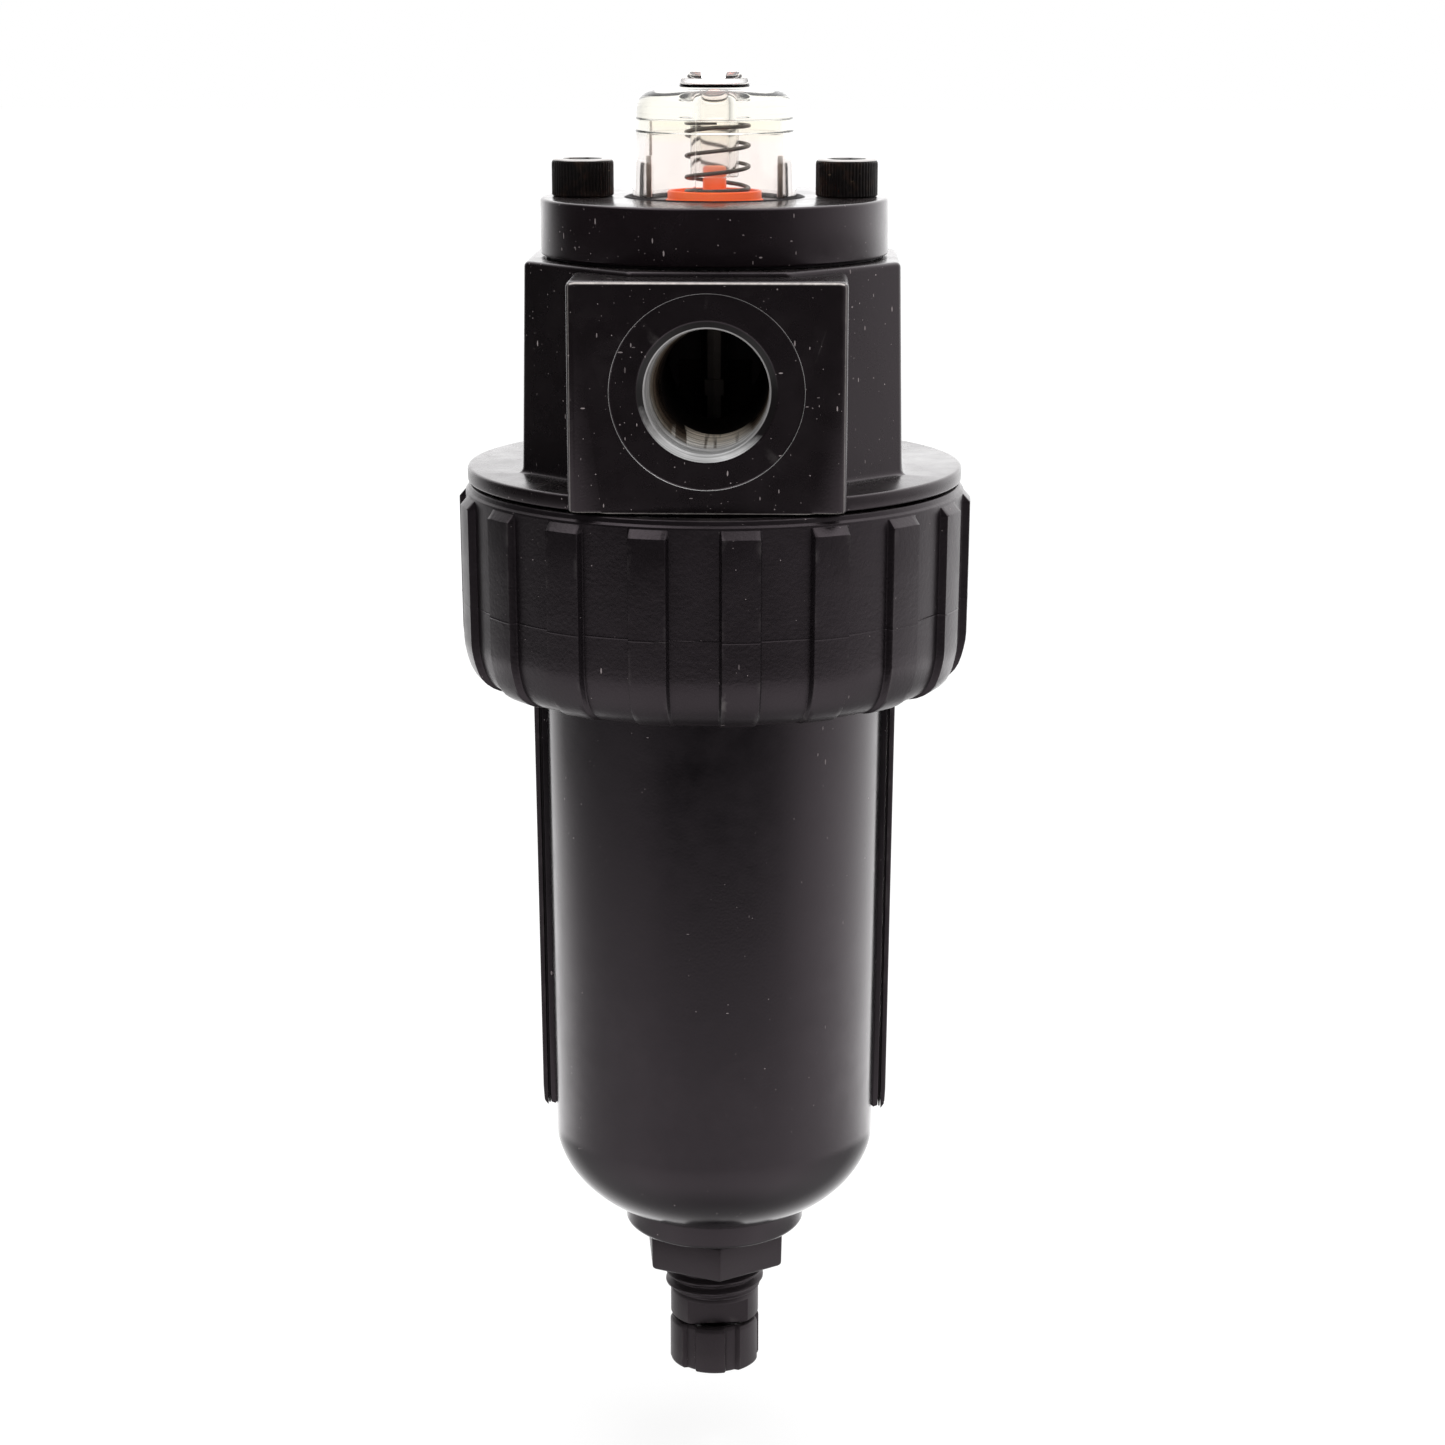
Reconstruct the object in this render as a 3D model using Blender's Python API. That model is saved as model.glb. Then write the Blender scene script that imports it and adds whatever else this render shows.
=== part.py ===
"""Compressed air filter: coalescing filter head with service indicator,
metal bowl with two narrow sight gauges, threaded clamp collar and twist drain.

Frame: metres, +Z up, origin at the bottom centre of the drain knob.
The inlet port faces -Y (front), the outlet port +Y (rear); the sight gauges
are at -X (left) and +X (right). Sizes below are in millimetres.
"""
import math

import bmesh
import bpy
from mathutils import Matrix, Vector

MM = 0.001
SIDES = (("left", -1), ("right", 1))

# ---- sizes shared between sections ----------------------------------------
OVERCUT = 1.0           # how far most cutters run past a surface
KNOB_H = 8.5
HEX_Z0 = 19.6           # drain bushing hexagon
BOSS_Z0 = 26.7          # underside of the bowl
BOWL_FLANGE_Z0 = 129.5
COLLAR_Z0 = 123.7
HEAD_TOP = 193.9
PLATE_Z0 = 194.3        # cover plate
PLATE_Z1 = 203.3
SCREW_X = 21.3
SCREW_HOLE_R = 3.25
DOME_CEILING = 215.7    # inside top of the indicator dome
PISTON_FACE = 203.4

# ---- meshes and objects ---------------------------------------------------
WELD = 1e-5             # vertices closer than this are merged
SPIN_WELD = 1e-4        # the same, for the seam and poles of a turned shape
SHARP_DEG = 32          # edges bent more than this are shaded sharp
SEAL_SIDES = 5          # sides of an O-ring's cross-section

for old_object in list(bpy.data.objects):
    bpy.data.objects.remove(old_object, do_unlink=True)


def material(name, color, roughness, metallic=0.0, alpha=1.0):
    result = bpy.data.materials.new(name)
    result.use_nodes = True
    inputs = result.node_tree.nodes["Principled BSDF"].inputs
    inputs["Base Color"].default_value = (*color, 1.0)
    inputs["Roughness"].default_value = roughness
    inputs["Metallic"].default_value = metallic
    inputs["Alpha"].default_value = alpha
    result.diffuse_color = (*color, alpha)
    return result


def new_object(name, mesh, mat=None, origin=(0.0, 0.0, 0.0), smooth=True):
    """Object from a bmesh given in millimetres, with its origin where asked."""
    bmesh.ops.remove_doubles(mesh, verts=mesh.verts, dist=WELD)
    bmesh.ops.recalc_face_normals(mesh, faces=mesh.faces)
    bmesh.ops.translate(mesh, verts=mesh.verts, vec=[-c for c in origin])
    bmesh.ops.scale(mesh, verts=mesh.verts, vec=(MM, MM, MM))
    data = bpy.data.meshes.new(name)
    mesh.to_mesh(data)
    mesh.free()
    result = bpy.data.objects.new(name, data)
    bpy.context.scene.collection.objects.link(result)
    result.location = [c * MM for c in origin]
    if mat:
        data.materials.append(mat)
    if smooth:
        data.shade_smooth()
        data.set_sharp_from_angle(angle=math.radians(SHARP_DEG))
    return result


def bridge(mesh, loop, next_loop):
    """Band of quads between two closed loops of equal length."""
    for i in range(len(loop)):
        j = (i + 1) % len(loop)
        mesh.faces.new((loop[i], loop[j], next_loop[j], next_loop[i]))


def spun(profile, steps):
    """bmesh of a closed (radius, z) profile turned about Z."""
    mesh = bmesh.new()
    verts = [mesh.verts.new((radius, 0.0, z)) for radius, z in profile]
    edges = []
    for i in range(len(verts)):
        j = (i + 1) % len(verts)
        # an edge lying on the axis would sweep no surface
        if profile[i][0] or profile[j][0]:
            edges.append(mesh.edges.new((verts[i], verts[j])))
    bmesh.ops.spin(mesh, geom=verts + edges, cent=(0, 0, 0), axis=(0, 0, 1),
                   angle=2 * math.pi, steps=steps, use_merge=False, use_duplicate=False)
    bmesh.ops.remove_doubles(mesh, verts=mesh.verts, dist=SPIN_WELD)
    return mesh


def turned(name, profile, steps, mat, origin_z=0.0):
    return new_object(name, spun(profile, steps), mat, (0, 0, origin_z))


def tube(inner_r, outer_r, z0, z1):
    """Rectangular (radius, z) profile."""
    return [(inner_r, z0), (outer_r, z0), (outer_r, z1), (inner_r, z1)]


def o_ring(name, major_r, minor_r, z, steps):
    profile = []
    for k in range(SEAL_SIDES):
        angle = 2 * math.pi * (k + 0.5) / SEAL_SIDES
        profile.append((major_r + minor_r * math.cos(angle), z + minor_r * math.sin(angle)))
    return turned(name, profile, steps, RUBBER, z)


def from_front(radius, degrees):
    """(x, y) at an angle from -Y, counter-clockwise seen from above."""
    angle = math.radians(degrees)
    return radius * math.sin(angle), -radius * math.cos(angle)


def polygon(sides, radius, turn=0.0):
    return [from_front(radius, turn + 360.0 * k / sides) for k in range(sides)]


def prism(outline, z0, z1, top_outline=None):
    """bmesh prism, tapering to top_outline if one is given."""
    mesh = bmesh.new()
    bottom = [mesh.verts.new((x, y, z0)) for x, y in outline]
    top = [mesh.verts.new((x, y, z1)) for x, y in top_outline or outline]
    mesh.faces.new(list(reversed(bottom)))
    mesh.faces.new(top)
    bridge(mesh, bottom, top)
    return mesh


def box(xa, xb, ya, yb, z0, z1):
    """bmesh box; the two x and the two y may come in either order."""
    x0, x1 = sorted((xa, xb))
    y0, y1 = sorted((ya, yb))
    return prism([(x0, y0), (x1, y0), (x1, y1), (x0, y1)], z0, z1)


def rod(radius, z0, z1, sides, x=0.0, y=0.0):
    return prism([(x + dx, y + dy) for dx, dy in polygon(sides, radius)], z0, z1)


def fluted(stations, corners):
    """Closed shell about Z with alternating high and low parts.

    stations: (z, low radius, high radius), running round the cross-section.
    corners: (degrees from the front, whether the corner is high).
    """
    mesh = bmesh.new()
    loops = [[mesh.verts.new((*from_front(high if raised else low, degrees), z))
              for degrees, raised in corners]
             for z, low, high in stations]
    for loop, next_loop in zip(loops, loops[1:] + loops[:1]):
        bridge(mesh, loop, next_loop)
    return mesh


def boolean(target, name, mesh, operation):
    """Boolean modifier driven by a hidden helper object."""
    tool = new_object(name, mesh, smooth=False)
    tool.hide_render = True
    tool.display_type = "WIRE"
    modifier = target.modifiers.new(name, "BOOLEAN")
    modifier.operation = operation
    modifier.solver = "EXACT"
    modifier.object = tool


def cut(target, name, mesh):
    boolean(target, name, mesh, "DIFFERENCE")


def fuse(target, name, mesh):
    boolean(target, name, mesh, "UNION")


def adopt(parent, *children):
    """Parent the children without moving them."""
    bpy.context.view_layer.update()
    for child in children:
        child.parent = parent
        child.matrix_parent_inverse = parent.matrix_world.inverted()


def axis_empty(name, z, parent=None):
    empty = bpy.data.objects.new(name, None)
    bpy.context.scene.collection.objects.link(empty)
    empty.location = (0, 0, z * MM)
    if parent:
        adopt(parent, empty)
    return empty


# ---- materials ------------------------------------------------------------
BLACK_PAINT = material("black_paint", color=(0.020, 0.019, 0.019), roughness=0.42)
BLACK_PLATE = material("black_anodised", color=(0.022, 0.021, 0.021),
                       roughness=0.38, metallic=0.3)
BLACK_OXIDE = material("black_oxide_steel", color=(0.030, 0.026, 0.023),
                       roughness=0.45, metallic=0.8)
BLACK_PLASTIC = material("black_nylon", color=(0.024, 0.023, 0.024), roughness=0.55)
BLACK_POLYMER = material("black_drain_plastic", color=(0.022, 0.021, 0.022), roughness=0.5)
RUBBER = material("black_rubber", color=(0.018, 0.018, 0.018), roughness=0.8)
STEEL = material("zinc_steel", color=(0.55, 0.55, 0.56), roughness=0.35, metallic=1.0)
SPRING_STEEL = material("spring_steel", color=(0.12, 0.11, 0.10),
                        roughness=0.35, metallic=1.0)
CLEAR = material("clear_polycarbonate", color=(0.93, 0.93, 0.86),
                 roughness=0.05, alpha=0.35)
ORANGE = material("orange_plastic", color=(0.95, 0.16, 0.02), roughness=0.4)
MEDIA = material("glass_fibre_media", color=(0.86, 0.85, 0.80), roughness=0.9)
FOAM = material("drain_foam", color=(0.20, 0.32, 0.62), roughness=0.95)
END_CAP = material("end_cap_plastic", color=(0.10, 0.10, 0.11), roughness=0.5)
ALU = material("anodised_sleeve", color=(0.05, 0.05, 0.05), roughness=0.4, metallic=0.6)

# ---- head casting ---------------------------------------------------------
FLANGE_R = 40.6
FLANGE_Z0 = 157.7
FLANGE_Z1 = 160.1
FLANGE_CHAMFER = 0.5
SKIRT_R = 37.2
SKIRT_NECK_R = 36.4      # the skirt narrows to this at both ends
SKIRT_Z0 = 136.0
SKIRT_BORE_R = 31.6
CAVITY_R = 27.5          # ring-shaped space above the element
CAVITY_Z0 = 139.4
CAVITY_Z1 = 157.0
HUB_R = 11.5             # central stub inside the cavity
HUB_Z0 = 148.0
BODY_HALF_TOP = 29.85    # octagon, half distance across the flats, at the top
BODY_HALF_BOT = 30.50    # and at the flange
PORT_HALF_W = 21.4
PORT_FACE_Y = 34.4
PORT_TOP = 193.1
PORT_Z = 176.3
PORT_MOUTH_R = 10.8      # chamfer of the half-inch pipe thread, at the face
PORT_CHAMFER = 1.2       # its depth
PORT_OVERCUT = 1.8
PORT_THREAD_R = 9.55     # crest radius at the mouth
PORT_THREAD_END_R = 8.85
PORT_THREAD_L = 15.0
PORT_BORE_R = 8.6
# name, direction along Y, end of the bore measured from the centre towards its own face
PORTS = (("inlet", -1, -5.5), ("outlet", 1, 12.8))
# name, radius, bottom z, top z, sides, x, y
HEAD_HOLES = (
    ("inlet_well", 8.2, 147.0, PORT_Z - 0.4, 24, 0.0, 0.0),
    ("outlet_passage", 5.8, 156.0, PORT_Z + 2.0, 16, 0.0, 19.4),
    ("tie_rod_hole", 2.5, PORT_Z + 4.0, 189.6, 12, 0.0, 0.0),
    ("indicator_well", 8.4, 190.7, HEAD_TOP + OVERCUT, 24, 0.0, 0.0),
    ("high_pressure_hole", 0.9, PORT_Z + 5.0, 191.5, 8, 5.5, 0.0),
    ("low_pressure_hole", 0.9, PORT_Z + 6.5, HEAD_TOP + OVERCUT, 8, 0.0, 14.5),
    ("screw_hole_left", SCREW_HOLE_R, 180.6, HEAD_TOP + OVERCUT, 12, -SCREW_X, 0.0),
    ("screw_hole_right", SCREW_HOLE_R, 180.6, HEAD_TOP + OVERCUT, 12, SCREW_X, 0.0),
)


def octagon(half_flats):
    """Octagon with flats facing +-X and +-Y."""
    return polygon(8, half_flats / math.cos(math.radians(22.5)), 67.5)


def port_cutter(direction, bore_end):
    """Chamfered mouth, tapered pipe thread, then the plain bore."""
    flare = (PORT_MOUTH_R - PORT_THREAD_R) * PORT_OVERCUT / PORT_CHAMFER
    mouth = PORT_FACE_Y + PORT_OVERCUT
    thread_end = PORT_FACE_Y - PORT_THREAD_L
    cutter = spun([
        (0.0, mouth), (PORT_MOUTH_R + flare, mouth),
        (PORT_THREAD_R, PORT_FACE_Y - PORT_CHAMFER), (PORT_THREAD_END_R, thread_end),
        (PORT_BORE_R, thread_end - 0.4), (PORT_BORE_R, bore_end), (0.0, bore_end)], 24)
    # lay the turning axis along +Y, at port height
    bmesh.ops.rotate(cutter, verts=cutter.verts, cent=(0, 0, 0),
                     matrix=Matrix.Rotation(math.radians(-90), 3, "X"))
    bmesh.ops.translate(cutter, verts=cutter.verts, vec=(0, 0, PORT_Z))
    if direction < 0:
        bmesh.ops.rotate(cutter, verts=cutter.verts, cent=(0, 0, 0),
                         matrix=Matrix.Rotation(math.pi, 3, "Z"))
    return cutter


head = turned("filter_head", [
    (0.0, FLANGE_Z1), (FLANGE_R - FLANGE_CHAMFER, FLANGE_Z1),
    (FLANGE_R, FLANGE_Z1 - FLANGE_CHAMFER), (FLANGE_R, FLANGE_Z0 + FLANGE_CHAMFER),
    (FLANGE_R - FLANGE_CHAMFER, FLANGE_Z0), (SKIRT_NECK_R, FLANGE_Z0),
    (SKIRT_NECK_R, 154.8), (SKIRT_R, 154.0), (SKIRT_R, SKIRT_Z0 + 0.8),
    (SKIRT_NECK_R, SKIRT_Z0), (SKIRT_BORE_R, SKIRT_Z0), (SKIRT_BORE_R, CAVITY_Z0),
    (CAVITY_R, CAVITY_Z0), (CAVITY_R, CAVITY_Z1), (HUB_R, CAVITY_Z1),
    (HUB_R, HUB_Z0), (0.0, HUB_Z0)], 40, BLACK_PAINT)
fuse(head, "head_octagon", prism(octagon(BODY_HALF_BOT), FLANGE_Z1 - 0.8, HEAD_TOP,
                                 octagon(BODY_HALF_TOP)))
for port, direction, _ in PORTS:
    # the boss starts just off centre and is trimmed to the port face below
    fuse(head, f"head_{port}_boss",
         box(-PORT_HALF_W, PORT_HALF_W, 0.6 * direction, (PORT_FACE_Y + 1.1) * direction,
             FLANGE_Z0 + 0.04, PORT_TOP))
for port, direction, bore_end in PORTS:
    # the flat port face also trims the round flange to a chord
    cut(head, f"head_{port}_chord",
        box(-30, 30, PORT_FACE_Y * direction, 45 * direction,
            FLANGE_Z0 - 2 * OVERCUT, PORT_TOP + 2 * OVERCUT))
    cut(head, f"head_{port}_port", port_cutter(direction, bore_end))
for hole, radius, z0, z1, sides, x, y in HEAD_HOLES:
    cut(head, f"head_{hole}", rod(radius, z0, z1, sides, x, y))

# ---- cover plate, gasket, screws ------------------------------------------
PLATE_R = 28.1
PLATE_HOLE_R = 13.6
PLATE_COUNTERBORE_R = 14.6     # shallow, from the top
PLATE_COUNTERBORE = 1.1
PLATE_RECESS_R = 16.0          # from below
PLATE_RECESS_TOP = 199.5
GASKET_GAP = 0.03
SCREW_Z0 = 181.2
SCREW_R = 2.95
SCREW_HEAD_R = 5.0
SCREW_SEAT = PLATE_Z1 + 0.05
SCREW_TOP = PLATE_Z1 + 6.0
SOCKET_R = 2.9                 # corner radius
SOCKET_Z0 = PLATE_Z1 + 3.0

plate = turned("cover_plate", [
    (PLATE_RECESS_R, PLATE_Z0), (PLATE_R - 0.3, PLATE_Z0), (PLATE_R, PLATE_Z0 + 0.3),
    (PLATE_R, PLATE_Z1 - 0.4), (PLATE_R - 0.4, PLATE_Z1), (PLATE_COUNTERBORE_R, PLATE_Z1),
    (PLATE_COUNTERBORE_R, PLATE_Z1 - PLATE_COUNTERBORE),
    (PLATE_HOLE_R, PLATE_Z1 - PLATE_COUNTERBORE), (PLATE_HOLE_R, PLATE_RECESS_TOP),
    (PLATE_RECESS_R, PLATE_RECESS_TOP)], 40, BLACK_PLATE, PLATE_Z0)
gasket = turned("cover_gasket", tube(16.6, 27.3, HEAD_TOP + GASKET_GAP, PLATE_Z0 - GASKET_GAP),
                32, RUBBER, HEAD_TOP)
for side, sx in SIDES:
    cut(plate, f"plate_screw_hole_{side}",
        rod(SCREW_HOLE_R, PLATE_Z0 - OVERCUT, PLATE_Z1 + OVERCUT, 12, sx * SCREW_X))
    cut(gasket, f"gasket_screw_hole_{side}",
        rod(3.3, HEAD_TOP - OVERCUT, PLATE_Z1, 12, sx * SCREW_X))
    screw = turned(f"cap_screw_{side}", [
        (0.0, SCREW_Z0), (2.4, SCREW_Z0), (SCREW_R, SCREW_Z0 + 0.6), (SCREW_R, SCREW_SEAT),
        (SCREW_HEAD_R, SCREW_SEAT), (SCREW_HEAD_R, SCREW_TOP - 0.4),
        (SCREW_HEAD_R - 0.4, SCREW_TOP), (0.0, SCREW_TOP)], 20, BLACK_OXIDE, PLATE_Z1)
    screw.location.x = sx * SCREW_X * MM
    socket = [(x + sx * SCREW_X, y) for x, y in polygon(6, SOCKET_R, 30)]
    cut(screw, f"socket_{side}", prism(socket, SOCKET_Z0, SCREW_TOP + 2 * OVERCUT))

# ---- service indicator dome -----------------------------------------------
DOME_FOOT_R = 15.7       # flange held under the cover plate
DOME_FOOT_Z0 = 196.9
DOME_FOOT_Z1 = 199.2
DOME_BASE_R = 13.25
DOME_TOP_R = 12.70
DOME_TOP = 220.4
SHOULDER_R = 3.1         # rounding between the wall and the top
SHOULDER_CENTRE_R = 9.3
CROWN_TOP = 223.1
GUIDE_R = 3.9            # tube hanging from the dome, round the piston stem
GUIDE_Z0 = 206.5
GUIDE_BORE_R = 2.35
GUIDE_BORE_TOP = 219.2   # blind bore, up into the thick top of the dome
DOME_STEP_Z = 213.7      # step in the inside wall
RIB_X = 10.0             # inner face of the two moulded ribs
RIB_OUTER_X = 12.3
RIB_Y = (-2.4, -1.6)
RIB_TOP = 210.0

shoulder = [(SHOULDER_CENTRE_R + SHOULDER_R * math.sin(math.radians(degrees)),
             DOME_TOP - SHOULDER_R + SHOULDER_R * math.cos(math.radians(degrees)))
            for degrees in (80, 40, 0)]
dome = turned("indicator_dome", [
    (11.6, DOME_FOOT_Z0), (DOME_FOOT_R, DOME_FOOT_Z0), (DOME_FOOT_R, DOME_FOOT_Z1),
    (DOME_BASE_R, DOME_FOOT_Z1), (DOME_BASE_R, PLATE_Z1 + 0.5),
    (DOME_TOP_R, DOME_TOP - 3.4), *shoulder,
    (5.0, DOME_TOP - 0.05), (5.65, 221.0), (5.3, 222.0), (3.9, CROWN_TOP), (0.0, CROWN_TOP),
    (0.0, GUIDE_BORE_TOP), (GUIDE_BORE_R, GUIDE_BORE_TOP), (GUIDE_BORE_R, GUIDE_Z0),
    (GUIDE_R, GUIDE_Z0), (GUIDE_R, DOME_CEILING), (10.6, DOME_CEILING),
    (10.6, DOME_STEP_Z), (11.0, DOME_STEP_Z), (11.4, 209.0)], 28, CLEAR, PLATE_Z1)
for side, sx in SIDES:
    fuse(dome, f"dome_rib_{side}",
         box(sx * RIB_X, sx * RIB_OUTER_X, *RIB_Y, PLATE_Z1 + 0.1, RIB_TOP))
cut(dome, "crown_slot", box(-2.0, 2.0, -8, 8, CROWN_TOP - 1.1, CROWN_TOP + 2 * OVERCUT))
o_ring("dome_seal", 13.95, 0.47, PLATE_Z1 - 0.45, 28)

# ---- indicator sleeve, piston and spring ----------------------------------
SLEEVE_BORE_R = 8.25
SLEEVE_R = 11.2
SLEEVE_FOOT_R = 13.4
SLEEVE_Z0 = 194.0
SLEEVE_FOOT_Z1 = 196.6
SLEEVE_Z1 = 202.8
PISTON_R = 7.9
PISTON_Z0 = 196.2
PISTON_RIM = 204.4
RIM_INNER_R = 7.3
GROOVE_R = 6.6           # seal groove
GROOVE_Z0 = 198.5
GROOVE_Z1 = 200.2
STEM_R = 1.9
STEM_TOP = 208.6
STEM_CHAMFER = 0.5
SPRING_R = 5.02
WIRE_R = 0.33
WIRE_SIDES = 4
SPRING_GAP = 0.08        # clearance at each end
CLOSED_PITCH = 0.80      # rise of the one closed coil at each end
ACTIVE_TURNS = 2.75
STEPS_PER_TURN = 12

turned("indicator_sleeve", [
    (SLEEVE_BORE_R, SLEEVE_Z0), (SLEEVE_FOOT_R, SLEEVE_Z0), (SLEEVE_FOOT_R, SLEEVE_FOOT_Z1),
    (SLEEVE_R, SLEEVE_FOOT_Z1), (SLEEVE_R, SLEEVE_Z1), (SLEEVE_BORE_R, SLEEVE_Z1)],
    24, ALU, SLEEVE_Z0)
indicator_axis = axis_empty("indicator_axis", PISTON_FACE)
piston = turned("indicator_piston", [
    (0.0, PISTON_Z0), (7.2, PISTON_Z0), (PISTON_R, PISTON_Z0 + 0.7), (PISTON_R, GROOVE_Z0),
    (GROOVE_R, GROOVE_Z0), (GROOVE_R, GROOVE_Z1), (PISTON_R, GROOVE_Z1),
    (PISTON_R, PISTON_RIM), (RIM_INNER_R, PISTON_RIM), (RIM_INNER_R, PISTON_FACE),
    (STEM_R, PISTON_FACE), (STEM_R, STEM_TOP - STEM_CHAMFER),
    (STEM_R - STEM_CHAMFER, STEM_TOP), (0.0, STEM_TOP)], 24, ORANGE, PISTON_FACE)
piston_seal = o_ring("piston_seal", 7.36, 0.66, (GROOVE_Z0 + GROOVE_Z1) / 2, 24)
adopt(indicator_axis, piston, piston_seal)


def spring_mesh(z0, z1):
    """Compression spring; z0 and z1 are wire centre heights at its ends."""
    mesh = bmesh.new()
    active_pitch = (z1 - z0 - 2 * CLOSED_PITCH) / ACTIVE_TURNS
    turns = ACTIVE_TURNS + 2.0
    steps = int(round(turns * STEPS_PER_TURN))
    up = Vector((0, 0, 1))
    loops = []
    for i in range(steps + 1):
        turn = turns * i / steps
        active = min(max(turn - 1.0, 0.0), ACTIVE_TURNS)
        z = z0 + CLOSED_PITCH * (turn - active) + active_pitch * active
        angle = 2 * math.pi * turn
        radial = Vector((math.cos(angle), math.sin(angle), 0))
        centre = radial * SPRING_R + up * z
        loop = []
        for k in range(WIRE_SIDES):
            around = 2 * math.pi * k / WIRE_SIDES
            offset = radial * math.cos(around) + up * math.sin(around)
            loop.append(mesh.verts.new(centre + offset * WIRE_R))
        loops.append(loop)
    for loop, next_loop in zip(loops, loops[1:]):
        bridge(mesh, loop, next_loop)
    mesh.faces.new(list(reversed(loops[0])))
    mesh.faces.new(loops[-1])
    return mesh


new_object("indicator_spring", spring_mesh(PISTON_FACE + WIRE_R + SPRING_GAP,
                                           DOME_CEILING - WIRE_R - SPRING_GAP),
           SPRING_STEEL, (0, 0, DOME_CEILING))

# ---- coalescing element and tie rod ---------------------------------------
ELEMENT_Z0 = 79.6
ELEMENT_Z1 = 141.7
END_CAP_R = 22.0
TOP_CAP_Z0 = 142.0
BOTTOM_CAP_Z0 = 76.3
CORE_SLOT_HALF_W = 1.6
CORE_SLOT_END = 6.0      # solid length left at each end of the core
TIE_ROD_Z0 = 66.0
TIE_ROD_R = 2.2
TIE_ROD_TOP = 188.8
TIE_COLLAR_R = 3.1       # collar on the rod
TIE_COLLAR_Z0 = 171.4
TIE_COLLAR_Z1 = 174.0
WASHER_Z0 = 74.9
TIE_NUT_Z0 = 70.0
TIE_NUT_Z1 = 74.6

o_ring("element_top_seal", 12.38, 0.72, 151.0, 24)
turned("element_top_cap", [
    (9.0, TOP_CAP_Z0), (END_CAP_R, TOP_CAP_Z0), (END_CAP_R, 145.0), (15.6, 145.0),
    (15.6, 153.8), (13.3, 153.8), (13.3, 147.6), (9.0, 147.6)], 24, END_CAP, TOP_CAP_Z0)
# name, inner radius, outer radius, material; from the inside out
layers = [turned(name, tube(inner_r, outer_r, ELEMENT_Z0, ELEMENT_Z1), 24, mat, ELEMENT_Z0)
          for name, inner_r, outer_r, mat in (
              ("element_core", 10.0, 11.2, STEEL),
              ("element_media", 11.5, 18.5, MEDIA),
              ("element_foam_sleeve", 18.8, 21.5, FOAM))]
core = layers[0]
core_slot = (ELEMENT_Z0 + CORE_SLOT_END, ELEMENT_Z1 - CORE_SLOT_END)
cut(core, "core_slots_x", box(-14, 14, -CORE_SLOT_HALF_W, CORE_SLOT_HALF_W, *core_slot))
cut(core, "core_slots_y", box(-CORE_SLOT_HALF_W, CORE_SLOT_HALF_W, -14, 14, *core_slot))
turned("element_bottom_cap", [
    (2.6, BOTTOM_CAP_Z0), (END_CAP_R, BOTTOM_CAP_Z0), (END_CAP_R, 79.3), (9.6, 79.3),
    (9.6, 81.5), (2.6, 81.5)], 24, END_CAP, BOTTOM_CAP_Z0)
turned("tie_rod", [
    (0.0, TIE_ROD_Z0), (1.8, TIE_ROD_Z0), (TIE_ROD_R, TIE_ROD_Z0 + 0.5),
    (TIE_ROD_R, TIE_COLLAR_Z0), (TIE_COLLAR_R, TIE_COLLAR_Z0), (TIE_COLLAR_R, TIE_COLLAR_Z1),
    (TIE_ROD_R, TIE_COLLAR_Z1), (TIE_ROD_R, TIE_ROD_TOP), (0.0, TIE_ROD_TOP)],
    12, STEEL, TIE_ROD_TOP)
turned("tie_rod_washer", tube(2.6, 7.0, WASHER_Z0, 76.0), 16, STEEL, WASHER_Z0)
tie_nut = new_object("tie_rod_nut", prism(polygon(6, 4.62), TIE_NUT_Z0, TIE_NUT_Z1),
                     STEEL, (0, 0, TIE_NUT_Z0))
cut(tie_nut, "tie_rod_nut_bore", rod(2.5, TIE_NUT_Z0 - OVERCUT, 76, 12))

# ---- bowl -----------------------------------------------------------------
BOSS_R = 15.45
BOSS_CHAMFER = 1.0
BOWL_HOLE_R = 7.4        # drain hole
BOWL_HOLE_TOP = 35.2
BOWL_DOME_Z = 46.4       # where the straight wall begins
BOWL_DOME_H = 18.6       # height of the rounded bottom
BOWL_DOME_POWER = 2.1    # superellipse exponent of the bottom; 2 is an ellipse
BOWL_INNER_Z = BOWL_DOME_Z + 2.0
BOWL_INNER_H = BOWL_DOME_H - 5.2
BOWL_R50 = 27.6          # outer radius at z = 50
BOWL_DRAFT = 0.010       # radius gained per millimetre of height
BOWL_WALL = 2.2
BOWL_FLANGE_R = 35.4
BOWL_FLANGE_Z1 = 132.7
SPIGOT_R = 30.6
BOWL_TOP = 138.6


def bowl_r(z):
    """Outer radius of the drafted wall."""
    return BOWL_R50 + (z - 50.0) * BOWL_DRAFT


def bowl_bottom(rim_r, height, rim_z, radii):
    """(radius, z) points on the rounded bottom."""
    return [(r, rim_z - height * max(0.0, 1.0 - (r / rim_r) ** BOWL_DOME_POWER)
             ** (1.0 / BOWL_DOME_POWER)) for r in radii]


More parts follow.
